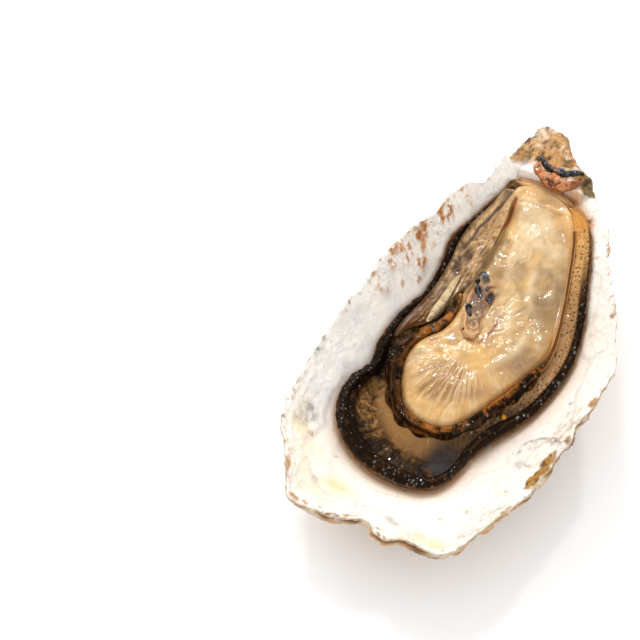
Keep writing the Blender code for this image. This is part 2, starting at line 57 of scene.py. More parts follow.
RIM = [
    (-3.0, 55.0, 15.0), (3.0, 55.5, 15.0), (6.5, 49.0, 18.0), (11.5, 42.5, 21.0), (15.0, 36.0, 23.0),
    (21.0, 26.5, 25.0), (22.0, 20.5, 26.0), (25.5, 12.5, 26.5), (30.0, 2.0, 26.0), (31.0, -6.0, 25.5),
    (29.0, -15.5, 25.0), (26.5, -23.5, 24.0), (24.5, -30.5, 22.5), (22.5, -38.5, 23.0),
    (19.0, -43.5, 22.0), (14.5, -51.0, 20.5), (9.5, -55.0, 18.5), (2.5, -55.0, 20.0), (-2.0, -55.5, 18.0),
    (-7.0, -53.0, 18.5), (-16.0, -54.5, 17.5), (-24.0, -52.5, 17.5), (-27.0, -45.5, 19.5),
    (-30.5, -40.0, 21.0), (-31.0, -32.0, 22.0), (-30.0, -22.5, 23.5), (-28.0, -13.5, 25.0),
    (-25.5, -5.0, 26.0), (-23.5, 2.0, 27.0), (-20.5, 11.5, 26.5), (-16.0, 19.0, 26.0), (-14.5, 26.0, 26.0),
    (-9.0, 32.0, 25.0), (-7.0, 38.5, 24.5), (-5.0, 46.5, 19.0),
]
SHELL_SPINE = ((0.0, -16.0), (1.0, 6.0))
CUP_FLOOR = 5.0
CUP_POWER = 2.2
CUP_WAVE = (0.5, 15.0)
LIP = 1.3
LIP_ROUGH = (0.7, 4.5)
FLAT_SHARE = 0.34
OUTER_POWER = 1.35
LAMELLAE = 8
LAMELLA_HEIGHT = 1.3
LAMELLA_UNDERCUT = 0.25
OUTER_TOP_SHARE = 0.985
SHELL_RELIEF = [
    (21.5, -30.5, 3.4, -1.6), (24.5, -20.0, 2.6, -0.8), (17.0, -39.0, 3.0, -0.9), (12.0, -47.5, 2.8, -0.8),
    (-2.5, -50.5, 3.0, 0.9), (-8.0, -50.0, 3.2, -0.9), (-25.0, -13.0, 3.0, -0.9),
    (-25.5, -31.0, 3.4, -0.7), (-15.0, 21.5, 3.0, 0.9), (-8.5, 36.5, 2.6, 0.9), (24.0, 8.0, 4.0, 0.5),
    (-20.0, -46.0, 4.5, 0.6),
]
SHELL_CENTRE_SHARE = 0.22
STEP_RINGS = (0.86, 0.92)
HINGE_NORMAL = (0.12, 0.99)
HINGE_AT = 38.2
HINGE_STEP = 1.2
PLATE_HEIGHT = 22.0
BEAK_REACH = 17.5
BEAK_DROP = 7.0
BEAK_ROUGH = (0.9, 3.2)

MANTLE = [
    (-2.6, 36.6, 1.2), (-5.6, 31.0, 1.4), (-8.4, 26.0, 1.6), (-11.9, 18.4, 1.8), (-12.8, 11.0, 1.8),
    (-14.1, 4.1, 1.8), (-17.3, -3.9, 2.0), (-18.9, -11.8, 2.4), (-18.9, -16.6, 2.8), (-21.7, -22.0, 3.6),
    (-22.3, -28.7, 4.0), (-20.5, -33.1, 4.0), (-17.0, -36.6, 4.0), (-10.4, -39.6, 3.8), (-2.6, -40.6, 3.4),
    (3.6, -38.6, 2.4), (7.1, -32.8, 2.0), (8.6, -27.8, 2.2), (12.6, -21.7, 2.6), (18.3, -15.0, 2.6),
    (22.2, -4.4, 2.2), (22.2, 5.0, 1.9), (20.0, 15.3, 1.7), (17.5, 25.9, 1.4), (14.4, 31.6, 1.3),
    (9.0, 35.4, 1.2), (3.1, 36.8, 1.2),
]
MANTLE_SPINE = ((-3.0, -22.0), (3.0, 18.0))
MANTLE_SHEET = 1.1
MANTLE_ROUND = 1.5
FRINGE_HEIGHT = 0.62
COLLAR_LEVEL = 14.4
COLLAR_REACH = 6.0
COLLAR_AT_HINGE = 2.4

BODY = [
    (-1.6, 35.4, 4.0), (-2.9, 32.2, 4.0), (-2.7, 26.6, 4.5), (-3.2, 19.4, 4.5), (-4.4, 13.5, 4.0),
    (-5.3, 8.0, 3.5), (-5.5, 3.4, 3.5), (-5.9, -0.6, 3.0), (-7.3, -4.0, 3.0), (-9.7, -6.4, 3.2),
    (-11.5, -9.6, 3.5), (-12.1, -14.0, 4.0), (-11.0, -19.4, 4.5), (-8.3, -24.4, 5.0), (-3.4, -26.7, 5.5),
    (1.7, -25.8, 5.5), (5.9, -21.6, 5.5), (9.9, -15.2, 5.0), (13.7, -8.6, 5.0), (16.4, -3.0, 5.0),
    (17.0, 2.6, 5.0), (16.4, 9.3, 5.0), (15.2, 17.4, 5.0), (13.4, 26.6, 5.0), (10.6, 32.6, 4.5),
    (6.6, 35.2, 4.0), (2.4, 36.0, 4.0),
]
BODY_SPINE = ((-2.0, -13.0), (5.0, 25.0))
BODY_LEVEL = 17.3
BODY_RISE = 2.2
BODY_RISE_RUN = (8.0, 36.0)
BODY_RELIEF = [
    (5.0, 20.0, 7.0, 0.8), (4.0, -6.0, 6.0, 0.5), (-5.0, -16.0, 5.0, 0.9), (12.0, 4.0, 4.0, -0.6),
    (9.0, -4.0, 3.5, 0.5), (-1.5, 4.0, 5.5, -1.3), (1.0, 28.0, 4.0, 0.5), (9.5, 29.0, 3.5, -0.6),
    (9.0, 13.0, 3.5, -0.5), (-7.0, -8.0, 4.0, -0.5), (1.5, -18.0, 5.0, 0.4),
]

FRILL = [
    (0.205, 0.8), (0.230, 1.4), (0.262, 1.8), (0.300, 2.0), (0.325, 2.6), (0.350, 3.6), (0.385, 3.6),
    (0.430, 2.8), (0.480, 2.2), (0.530, 2.3), (0.580, 2.6), (0.625, 2.7), (0.665, 1.5), (0.720, 1.0),
    (0.800, 0.9), (0.880, 0.8),
]
FRILL_HEIGHT = 2.2
FRILL_CURL = (0.28, 5.2)

GILLS = [
    (-4.5, 31.2), (-6.2, 27.6), (-8.8, 22.4), (-10.3, 17.5), (-10.8, 13.4), (-11.4, 9.5), (-12.2, 5.6),
    (-13.2, 2.0), (-14.8, -2.6), (-15.9, -6.4), (-16.3, -9.2), (-15.5, -8.5), (-13.9, -5.6), (-11.4, -3.0),
    (-9.3, -0.6), (-8.0, 2.8), (-6.8, 7.0), (-5.8, 13.5), (-4.9, 19.4), (-4.4, 26.0),
]
GILLS_SPINE = ((-15.3, -7.0), (-4.8, 28.0))
GILLS_THICK = 2.0
PLEAT = (0.35, 2.6)

GILL_EDGE = [
    (-10.9, -2.6, 0.8), (-10.1, 0.0, 2.0), (-9.3, 2.8, 2.4), (-8.7, 5.6, 2.2), (-8.2, 8.6, 1.8),
    (-7.8, 10.2, 0.7),
]
GILL_EDGE_HEIGHT = 1.3
LIGAMENT = [
    (0.3, 41.4, 0.9), (0.6, 39.6, 2.0), (2.4, 38.0, 2.8), (5.0, 37.2, 3.2), (7.8, 37.2, 3.0),
    (9.8, 38.6, 2.4), (10.8, 40.4, 1.0),
]
LIGAMENT_HEIGHT = 1.5
RESILIUM = [
    (-0.4, 43.2, 0.7), (1.6, 41.9, 1.5), (4.2, 40.6, 1.9), (6.8, 40.6, 1.7), (9.2, 42.0, 1.3),
    (10.6, 42.6, 0.6),
]
RESILIUM_HEIGHT = 1.1

ADDUCTOR = [
    (-3.9, 10.6), (-3.2, 12.4), (-1.8, 12.1), (-0.2, 10.6), (1.2, 8.8), (1.7, 6.6), (0.9, 3.8), (0.8, 0.6),
    (1.5, -2.2), (0.6, -4.7), (-1.4, -5.2), (-3.0, -3.4), (-3.6, -0.6), (-4.1, 2.4), (-4.4, 5.4),
    (-4.3, 8.2),
]
ADDUCTOR_SPINE = ((-1.2, -1.0), (-1.8, 8.0))


# Noise and masks

def ramp(value, low, high):
    """0 below low, 1 above high, and smooth in between."""
    t = np.clip((value - low) / (high - low), 0.0, 1.0)
    return t * t * (3 - 2 * t)


def hashed(a, b, c):
    """A fixed scatter value from -1 to 1 for each whole-number place."""
    mixed = (a * 73856093) ^ (b * 19349663) ^ (c * 83492791)
    mixed = ((mixed ^ (mixed >> 13)) * 1274126177) & 0x7FFFFFFF
    mixed = ((mixed ^ (mixed >> 16)) * 668265263) & 0x7FFFFFFF
    return mixed / 0x3FFFFFFF - 1


def grain(x, y, z, size, seed=0):
    """Smooth noise from -1 to 1, with lumps of this size."""
    place = np.stack(np.broadcast_arrays(x, y, z)).astype(float) / size + 19.7 * seed + 311.0
    cell = np.floor(place).astype(np.int64)
    part = place - cell
    part = part * part * (3 - 2 * part)
    total = np.zeros(place.shape[1:])
    for corner in itertools.product((0, 1), repeat=3):
        weight = np.ones(place.shape[1:])
        for axis in range(3):
            weight = weight * (part[axis] if corner[axis] else 1 - part[axis])
        total += weight * hashed(*(cell[axis] + corner[axis] for axis in range(3)))
    return total


def fractal(x, y, z, size, octaves=3, seed=0):
    """Several sizes of noise on top of each other."""
    return sum(grain(x, y, z, size / 2**n, seed + n) / 2**n for n in range(octaves))


def cells(x, y, size, seed=0):
    """Distance to the nearest scattered point, in units of size, and that point's own value."""
    px, py = x / size + 517.3, y / size + 433.7
    column, row = np.floor(px).astype(np.int64), np.floor(py).astype(np.int64)
    nearest, value = np.full(px.shape, 9.0), np.zeros(px.shape)
    for dx, dy in itertools.product((-1, 0, 1), repeat=2):
        a, b = column + dx, row + dy
        off_x, off_y = 0.42 * hashed(a, b, seed + 1), 0.42 * hashed(a, b, seed + 2)
        apart = np.hypot(px - a - 0.5 - off_x, py - b - 0.5 - off_y)
        value = np.where(apart < nearest, hashed(a, b, seed + 3), value)
        nearest = np.minimum(apart, nearest)
    return nearest, value


def bumps(x, y, size, seed=0):
    """Round bumps from 0 to 1, packed like papillae."""
    apart, value = cells(x, y, size, seed)
    return np.sqrt(np.clip(1 - (apart / 0.62) ** 2, 0, 1)) * (0.75 + 0.25 * value)


def droplets(x, y, size, share, seed=0):
    """Small wet spots of uneven size, gathered in clusters, over about this share of the cells."""
    apart, value = cells(x, y, size, seed)
    crowd = 1.3 * fractal(x, y, 4.0 * seed, 3.4, 3, seed)
    radius = 0.18 + 0.12 * value
    return (1 - ramp(apart, 0.5 * radius, radius)) * (value + crowd > 1 - 2 * share)


def blot(x, y, centre_x, centre_y, radius_x, radius_y=None, turn=0.0):
    """A soft spot, 1 at its middle; turn is in degrees."""
    cos, sin = math.cos(math.radians(turn)), math.sin(math.radians(turn))
    dx, dy = x - centre_x, y - centre_y
    along, across = dx * cos + dy * sin, dy * cos - dx * sin
    return np.exp(-((along / radius_x) ** 2) - (across / (radius_y or radius_x)) ** 2)


def swell(x, y, relief):
    """Height that round dents and swellings add at a place."""
    return sum(height * blot(x, y, cx, cy, radius) for cx, cy, radius, height in relief)


def near_line(x, y, points):
    """Distance to a run of points, and the share of the way along it."""
    points = np.array(points, float)[:, :2]
    lengths = np.hypot(*np.diff(points, axis=0).T)
    ends = np.concatenate([[0], np.cumsum(lengths)]) / lengths.sum()
    best, share = np.full(np.shape(x), 1e9), np.zeros(np.shape(x))
    for a, b, low, high in zip(points, points[1:], ends, ends[1:]):
        way = b - a
        t = np.clip(((x - a[0]) * way[0] + (y - a[1]) * way[1]) / (way @ way), 0, 1)
        apart = np.hypot(x - a[0] - t * way[0], y - a[1] - t * way[1])
        share = np.where(apart < best, low + (high - low) * t, share)
        best = np.minimum(best, apart)
    return best, share


def stroke(x, y, points, width, soft=0.2):
    """A soft line through points, 1 along its middle."""
    apart, _ = near_line(x, y, smooth_curve(points, 5, False))
    return 1 - ramp(apart, max(width / 2 - soft, 0), width / 2 + soft)


def patch(x, y, points, soft):
    """A soft-edged closed shape, 1 inside it."""
    ring = smooth_curve(points, 5, True)
    ring = np.concatenate([ring, ring[:1]])
    apart, _ = near_line(x, y, ring)
    inside = np.zeros(np.shape(x), bool)
    for a, b in zip(ring, ring[1:]):
        crosses = (a[1] > y) != (b[1] > y)
        inside ^= crosses & (x < a[0] + (y - a[1]) * (b[0] - a[0]) / (b[1] - a[1] + 1e-9))
    return ramp(np.where(inside, apart, -apart), -soft, soft)


# Colours

def rgb(red, green, blue):
    """A colour given as sRGB, as linear light."""
    c = np.array([red, green, blue], float) / 255
    return np.where(c <= 0.04045, c / 12.92, ((c + 0.055) / 1.055) ** 2.4)


def paint(under, *layers):
    """Colours laid one after another over what is there, each as thickly as its mask says."""
    for colour, mask in layers:
        mask = np.clip(mask, 0, 1)[..., None]
        under = under * (1 - mask) + colour * mask
    return under


# Curves and outlines

def smooth_curve(points, steps, closed):
    """A Catmull-Rom curve through the points."""
    points = np.array(points, float)
    if closed:
        ring = np.concatenate([points[-1:], points, points[:2]])
    else:
        ring = np.concatenate([2 * points[:1] - points[1:2], points, 2 * points[-1:] - points[-2:-1]])
    t = np.linspace(0, 1, steps, endpoint=False)[:, None]
    spans = []
    for a, b, c, d in zip(ring, ring[1:], ring[2:], ring[3:]):
        bend = 2 * a - 5 * b + 4 * c - d
        spans.append(0.5 * (2 * b + (c - a) * t + bend * t**2 + (3 * b - a - 3 * c + d) * t**3))
    if not closed:
        spans.append(points[-1:])
    return np.concatenate(spans)


def evenly(curve, count, closed):
    """Points at equal steps along a curve, measured in plan."""
    if closed:
        curve = np.concatenate([curve, curve[:1]])
    step = np.hypot(*np.diff(curve[:, :2], axis=0).T)
    along = np.concatenate([[0], np.cumsum(step)])
    wanted = np.linspace(0, along[-1], count, endpoint=not closed)
    return np.stack([np.interp(wanted, along, curve[:, column]) for column in range(curve.shape[1])], axis=1)


def normals(curve, closed):
    """Unit normals in plan, to the right of the way along."""
    if closed:
        ahead, behind = np.roll(curve, -1, axis=0), np.roll(curve, 1, axis=0)
    else:
        ahead = np.concatenate([curve[1:], curve[-1:]])
        behind = np.concatenate([curve[:1], curve[:-1]])
    way = (ahead - behind)[:, :2]
    way = way / np.linalg.norm(way, axis=1)[:, None]
    return np.stack([way[:, 1], -way[:, 0]], axis=1)


class Outline:
    """A closed curve in plan, with a third value at each point, and the spine that its rings close on."""

    SAMPLE = 0.45

    def __init__(self, points, spine):
        points = [tuple(p) + (0.0,) * (3 - len(p)) for p in points]
        curve = smooth_curve(points, 24, True)
        length = np.hypot(*(np.roll(curve, -1, axis=0) - curve)[:, :2].T).sum()
        self.curve = evenly(curve, int(length / self.SAMPLE), True)
        self.step = length / len(self.curve)
        self.spine = np.array(spine, float)

    def near(self, x, y):
        """Distance to the curve, smooth across the middle, and the curve's third value nearby."""
        place = np.stack([np.ravel(x), np.ravel(y)], axis=1).astype(np.float32)
        curve = self.curve.astype(np.float32)
        distance, value = np.empty(len(place)), np.empty(len(place))
        for start in range(0, len(place), 8000):
            part = place[start : start + 8000]
            apart = (part[:, :1] - curve[:, 0]) ** 2 + (part[:, 1:] - curve[:, 1]) ** 2 + np.float32(0.0004)
            weight = self.step / apart**2
            total = weight.sum(1)
            distance[start : start + 8000] = (total / (math.pi / 2)) ** (-1 / 3)
            value[start : start + 8000] = weight @ curve[:, 2] / total
        return distance.reshape(np.shape(x)), value.reshape(np.shape(x))

    def holds(self, x, y):
        """True at places inside the curve."""
        found = np.zeros(np.shape(x), bool)
        for (ax, ay), (bx, by) in zip(self.curve[:, :2], np.roll(self.curve[:, :2], -1, axis=0)):
            if ay != by:
                found ^= ((ay > y) != (by > y)) & (x < ax + (y - ay) * (bx - ax) / (by - ay))
        return found

    def share(self, x, y):
        """How far out a place lies, from 0 on the spine to 1 on the curve, and the third value there."""
        distance, value = self.near(x, y)
        (ax, ay), (bx, by) = self.spine
        t = ((x - ax) * (bx - ax) + (y - ay) * (by - ay)) / ((bx - ax) ** 2 + (by - ay) ** 2)
        t = np.clip(t, 0, 1)
        from_spine = np.hypot(x - ax - t * (bx - ax), y - ay - t * (by - ay))
        return from_spine / (from_spine + distance), value

    def middle(self, points):
        """The point on the spine that each point of the curve draws in to."""
        low, high = self.curve[:, 1].min(), self.curve[:, 1].max()
        t = ((points[:, 1] - low) / (high - low))[:, None]
        return self.spine[0] * (1 - t) + self.spine[1] * t

    def drawn_in(self, points, share):
        """The points moved to a share of the way from the spine."""
        middle = self.middle(points)
        return middle + (points[:, :2] - middle) * share

    def inset(self, points, distance):
        """The points moved in from the curve by a distance."""
        way = self.middle(points) - points[:, :2]
        reach = np.linalg.norm(way, axis=1)
        way = way / reach[:, None]
        facing = np.abs((way * normals(points, True)).sum(1))
        travel = np.minimum(distance / np.maximum(facing, 0.45), 0.8 * reach)
        return points[:, :2] + way * travel[:, None]

    def outward(self, points):
        """Unit normals that point out of the curve."""
        side = normals(points, True)
        facing = ((points[:, :2] - self.middle(points)) * side).sum(1)
        return side * np.sign(facing)[:, None]


SHELL_OUTLINE = Outline(RIM, SHELL_SPINE)
MANTLE_OUTLINE = Outline(MANTLE, MANTLE_SPINE)
BODY_OUTLINE = Outline(BODY, BODY_SPINE)
GILLS_OUTLINE = Outline(GILLS, GILLS_SPINE)
ADDUCTOR_OUTLINE = Outline(ADDUCTOR, ADDUCTOR_SPINE)


# Heights of each layer's upper side, as in the part

def past_hinge(x, y):
    """Distance beyond the hinge line, towards the beak."""
    return x * HINGE_NORMAL[0] + y * HINGE_NORMAL[1] - HINGE_AT


def shell_inside(x, y):
    """The cup's inner side, the step at the hinge and the beak's rough top."""
    share, rim = SHELL_OUTLINE.share(x, y)
    cup = CUP_FLOOR + (rim - CUP_FLOOR) * np.maximum(share, SHELL_CENTRE_SHARE) ** CUP_POWER
    cup = cup + CUP_WAVE[0] * grain(x, y, 0, CUP_WAVE[1]) * ramp(share, 0.2, 0.6) + swell(x, y, SHELL_RELIEF)
    beyond = past_hinge(x, y)
    plate = PLATE_HEIGHT - BEAK_DROP * np.clip(beyond / BEAK_REACH, 0, 1) ** 1.5
    plate = plate + BEAK_ROUGH[0] * grain(x, y, 5, BEAK_ROUGH[1]) * ramp(beyond, 0, 4)
    on_plate = ramp(beyond, -HINGE_STEP, 0)
    return cup * (1 - on_plate) + plate * on_plate


def plate_bed(x, y):
    """The hinge plate, carried on level over the end of the cup."""
    return np.maximum(shell_inside(x, y), PLATE_HEIGHT + 0.3)


def mantle_bed(x, y):
    """The lower mantle's underside, clear of the cup."""
    inside, _ = MANTLE_OUTLINE.near(x, y)
    return shell_inside(x, y) + GAP + 0.3 * ramp(inside, 1, 6)


def mantle_top(x, y):
    """The lower mantle: a sheet with a thick fringe along its outline, raised under the body."""
    inside, width = MANTLE_OUTLINE.near(x, y)
    sheet = MANTLE_SHEET * ramp(inside, 0, MANTLE_ROUND)
    across = np.clip((inside - 0.5 * width) / (0.55 * width), -1, 1)
    fringe = FRINGE_HEIGHT * width * (1 - across**2) ** 0.8
    top = mantle_bed(x, y) + EDGE + sheet + fringe
    to_body, _ = BODY_OUTLINE.near(x, y)
    collar = COLLAR_LEVEL + BODY_RISE * ramp(y, *BODY_RISE_RUN)
    collar = collar + COLLAR_AT_HINGE * ramp(past_hinge(x, y), -4, -2)
    raised = np.where(BODY_OUTLINE.holds(x, y), 1.0, 1 - ramp(to_body, 0.5, COLLAR_REACH))
    return top + np.maximum(collar - top, 0) * raised


def body_top(x, y):
    """The body: a soft rounded edge up to a gently lumpy top."""
    inside, run = BODY_OUTLINE.near(x, y)
    bed = mantle_top(x, y) + GAP
    level = BODY_LEVEL + BODY_RISE * ramp(y, *BODY_RISE_RUN) + swell(x, y, BODY_RELIEF)
    rise = np.maximum(level - bed - EDGE, 1.0)
    return bed + EDGE + rise * np.sqrt(1 - (1 - np.clip(inside / run, 0, 1)) ** 2)


def gills_top(x, y):
    """The gills: a leaf with pleats along it."""
    inside, _ = GILLS_OUTLINE.near(x, y)
    thick = GILLS_THICK * ramp(inside, -0.6, 1.8)
    pleats = PLEAT[0] * np.cos(math.tau * inside / PLEAT[1]) * ramp(inside, 0.2, 1.0)
    return mantle_top(x, y) + GAP + EDGE + thick + pleats


# Meshes

def closed_piece(name, rings, tints, material, node, values=None, first_cap=True):
    """A smooth mesh through rings of points in mm, closed at its ends, with a colour at each point."""
    rings, tints = np.asarray(rings, float), np.asarray(tints, float)
    rows, around = rings.shape[:2]
    index = np.arange(rows * around).reshape(rows, around)
    beside = np.roll(index, -1, axis=1)
    quads = np.stack([index[:-1], beside[:-1], beside[1:], index[1:]], axis=-1).reshape(-1, 4)
    ends = np.stack([rings[0].mean(0), rings[-1].mean(0)])
    places = np.concatenate([rings.reshape(-1, 3), ends]) - np.array([*BOX_CENTRE, 0.0])
    first, last = rows * around, rows * around + 1
    caps = np.concatenate([
        np.stack([beside[0], index[0], np.full(around, first)], axis=1),
        np.stack([index[-1], beside[-1], np.full(around, last)], axis=1),
    ])
    a, b, c, d = (places[quads[:, k]] for k in range(4))
    volume = (np.cross(a, b) * c).sum() + (np.cross(a, c) * d).sum()
    if volume < 0:
        quads, caps = quads[:, ::-1], caps[:, ::-1]
    if not first_cap:
        caps = caps[around:]
    corners = np.concatenate([quads.ravel(), caps.ravel()]).astype(np.int32)
    cap_starts = len(quads) * 4 + np.arange(len(caps)) * 3
    starts = np.concatenate([np.arange(len(quads)) * 4, cap_starts]).astype(np.int32)
    mesh = bpy.data.meshes.new(name)
    mesh.vertices.add(len(places))
    mesh.vertices.foreach_set("co", (places * MM).astype(np.float32).ravel())
    mesh.loops.add(len(corners))
    mesh.loops.foreach_set("vertex_index", corners)
    mesh.polygons.add(len(starts))
    mesh.polygons.foreach_set("loop_start", starts)
    mesh.update(calc_edges=True)
    mesh.shade_smooth()
    colour = np.ones((len(places), 4), np.float32)
    colour[:-2, :3] = np.clip(tints, 0, 1).reshape(-1, 3)
    colour[-2, :3], colour[-1, :3] = colour[0, :3], colour[-3, :3]
    mesh.attributes.new("tint", "FLOAT_COLOR", "POINT").data.foreach_set("color", colour.ravel())
    for key, value in (values or {}).items():
        flat = np.concatenate([np.asarray(value, np.float32).ravel(), np.zeros(2, np.float32)])
        mesh.attributes.new(key, "FLOAT", "POINT").data.foreach_set("value", flat)
    mesh.materials.append(material)
    made = bpy.data.objects.new(name, mesh)
    bpy.context.scene.collection.objects.link(made)
    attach(made, "root")
    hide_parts(node)


def laid_plans(outline, around, insets, shares):
    """Rings in plan from an outline's edge to its middle, and the edge point of each column."""
    edge = evenly(outline.curve, int(around * FINE), True)
    plans = [outline.inset(edge, distance) for distance in insets]
    inner = np.concatenate([plans[-1], edge[:, 2:]], axis=1)
    plans += [outline.drawn_in(inner, share) for share in (*shares, 0.0)]
    return edge, np.array(plans)


def push_out(plans, insets, outward, amount, reach):
    """Moves the rings outward, less with each one until this far in from the edge."""
    for row, distance in enumerate(insets):
        plans[row] += outward * (amount * max(0, 1 - distance / reach))[:, None]


def depth_in(outline, plans):
    """The points' x and y, their depth inside the outline, and the outline's third value there."""
    x, y = plans[..., 0], plans[..., 1]
    inside, value = outline.near(x, y)
    inside[0] = EDGE_DEPTH
    return x, y, inside, value


def laid_piece(name, plans, top, bottom, tints, material, wet):
    """A soft piece between two heights over the same rings, edge first."""
    over = np.dstack([plans, top])
    under_rows = np.linspace(1, len(plans) - 1, 8).astype(int)
    under = np.dstack([plans[under_rows], bottom(plans[under_rows, :, 0], plans[under_rows, :, 1])])
    rings = np.concatenate([over[::-1], under])
    colours = np.concatenate([tints[::-1], tints[under_rows]])
    wet = {"wet": np.concatenate([wet[::-1], 0 * wet[under_rows]])}
    closed_piece(name + "_looks", rings, colours, material, name, wet, first_cap=False)


# Materials

class Nodes:
    """Adds nodes to a new material, and links them."""

    def __init__(self, name):
        self.material = bpy.data.materials.new(name)
        self.material.use_nodes = True
        self.tree = self.material.node_tree
        self.shader = self.tree.nodes["Principled BSDF"]
        self.place = self.add("ShaderNodeTexCoord").outputs["Object"]

    def add(self, kind, **inputs):
        """A new node, with each input set to a value or linked to an output."""
        node = self.tree.nodes.new(kind)
        for key, value in inputs.items():
            socket = node.inputs[key.replace("_", " ")]
            if isinstance(value, bpy.types.NodeSocket):
                self.tree.links.new(value, socket)
            else:
                socket.default_value = value
        return node

    def link(self, output, target):
        self.tree.links.new(output, target)

    def noise(self, size, detail=4.0, stretch=1.0, turn=0.0):
        """Noise with lumps of this size in mm, drawn out along Y and turned by so many degrees."""
        place = self.place
        if stretch != 1.0:
            turned = self.add("ShaderNodeMapping", Vector=place, Rotation=(0.0, 0.0, math.radians(turn)))
            turned.inputs["Scale"].default_value = (1.0, 1.0 / stretch, 1.0)
            place = turned.outputs["Vector"]
        lumps = dict(Scale=1 / MM / size, Detail=detail, Roughness=0.55)
        return self.add("ShaderNodeTexNoise", Vector=place, **lumps).outputs["Fac"]

    def mapped(self, value, low, high, to_low, to_high):
        """The value's range from low to high, spread over another range."""
        ends = dict(From_Min=low, From_Max=high, To_Min=to_low, To_Max=to_high)
        return self.add("ShaderNodeMapRange", Value=value, **ends).outputs["Result"]

    def times(self, colour, value):
        """The colour made lighter or darker by a value."""
        grey = self.add("ShaderNodeCombineColor", Red=value, Green=value, Blue=value).outputs["Color"]
        node = self.tree.nodes.new("ShaderNodeMix")
        node.data_type = "RGBA"
        node.blend_type = "MULTIPLY"
        node.inputs[0].default_value = 1.0
        self.link(colour, node.inputs[6])
        self.link(grey, node.inputs[7])
        return node.outputs[2]

    def bump(self, height, distance, under=None):
        """Relief this many mm high."""
        node = self.add("ShaderNodeBump", Height=height, Distance=distance * MM, Strength=1.0)
        if under is not None:
            self.link(under, node.inputs["Normal"])
        return node.outputs["Normal"]

    def attribute(self, name):
        node = self.tree.nodes.new("ShaderNodeAttribute")
        node.attribute_name = name
        return node

    def set(self, **values):
        """Sets inputs of the shader."""
        for key, value in values.items():
            self.shader.inputs[key.replace("_", " ")].default_value = value


WET_COAT = {"Coat_Roughness": 0.04, "Coat_IOR": 2.2}
MANTLE_RELIEF = ((0.45, 0.07), (1.1, 0.10))  # (size, height) of each relief


def flesh(name, mottle, roughness, relief, scatter, shine, reflection=(1, 1, 1)):
    """A soft surface with fine mottling and small relief, and a wet coat as thick as its wet value says.

    mottle is (size, depth), and each relief is (size, height), or (size, height, stretch, turn).
    """
    nodes = Nodes(name)
    size, depth = mottle
    vary = nodes.mapped(nodes.noise(size), 0.3, 0.7, 1 - depth, 1 + depth)
    nodes.link(nodes.times(nodes.attribute("tint").outputs["Color"], vary), nodes.shader.inputs["Base Color"])
    nodes.link(nodes.mapped(nodes.noise(1.3, 3.0), 0.35, 0.65, *roughness), nodes.shader.inputs["Roughness"])
    normal = None
    for bump_size, height, *stretch in relief:
        normal = nodes.bump(nodes.noise(bump_size, 2.0, *stretch), height, under=normal)
    nodes.link(normal, nodes.shader.inputs["Normal"])
    nodes.set(
        Subsurface_Weight=scatter, Subsurface_Scale=1.3 * MM, Subsurface_Radius=(1.0, 0.6, 0.35),
        Specular_IOR_Level=shine, Specular_Tint=(*reflection, 1), IOR=1.40, **WET_COAT,
    )
    nodes.link(nodes.attribute("wet").outputs["Fac"], nodes.shader.inputs["Coat Weight"])
    return nodes.material


def shell_material():
    """Satin nacre inside and dry flaky chalk outside, by the mesh's inside value."""
    nodes = Nodes("shell_nacre_and_chalk")
    inside = nodes.attribute("inside").outputs["Fac"]
    vary = nodes.add("ShaderNodeMapRange", Value=inside)
    nodes.link(nodes.mapped(nodes.noise(0.7, 5.0), 0.3, 0.7, 0.70, 1.15), vary.inputs["To Min"])
    nodes.link(nodes.mapped(nodes.noise(2.5, 3.0), 0.3, 0.7, 0.965, 1.015), vary.inputs["To Max"])
    tint = nodes.times(nodes.attribute("tint").outputs["Color"], vary.outputs["Result"])
    nodes.link(tint, nodes.shader.inputs["Base Color"])
    nodes.link(nodes.mapped(inside, 0.0, 1.0, 0.72, 0.36), nodes.shader.inputs["Roughness"])
    rough = nodes.add("ShaderNodeMapRange", Value=nodes.noise(1.6, 5.0))
    nodes.link(nodes.mapped(inside, 0.2, 0.9, 1.0, 0.22), rough.inputs["To Max"])
    coarse = nodes.bump(rough.outputs["Result"], 0.55)
    normal = nodes.bump(nodes.noise(0.40, 3.0), 0.05, under=coarse)
    nodes.link(normal, nodes.shader.inputs["Normal"])
    nodes.set(Subsurface_Weight=0.10, Subsurface_Scale=1.0 * MM, Subsurface_Radius=(1.0, 0.9, 0.8))
    nodes.set(Specular_IOR_Level=0.35)
    return nodes.material


# Shell colours and marks

CHALK = rgb(253, 248, 240)
NACRE = rgb(250, 242, 231)
NACRE_BLUE = rgb(228, 226, 227)
WARM = rgb(242, 233, 222)
YELLOW = rgb(234, 210, 160)
# grey of smudges and chips, and of painted shade at steps and in scoops
GREY_MARK_AND_SHADE = rgb(140, 134, 130)
TAN = rgb(196, 146, 88)
EDGE_TAN = rgb(176, 122, 58)
CRUST_GOLD = rgb(204, 136, 60)
RUST = rgb(164, 92, 32)
OCHRE = rgb(176, 128, 58)
BEAK_TAN = rgb(190, 144, 92)
BEAK_PALE = rgb(228, 202, 172)
BEAK_DARK = rgb(58, 44, 34)
BEAK_OLIVE = rgb(112, 92, 48)
GOLD_STAIN = rgb(206, 148, 78)
# brown halo on the shell round the meat: partly stain, partly painted contact shade, and painted light on the
# lit side
MEAT_STAIN_AND_SHADE = rgb(208, 164, 118)
LEAF_TAN = rgb(206, 160, 104)
LEAF_GOLD = rgb(196, 138, 66)
LEAF_CREAM = rgb(238, 224, 200)
LEAF_BROWN = rgb(110, 70, 34)
LEAF_DARK = rgb(52, 38, 28)

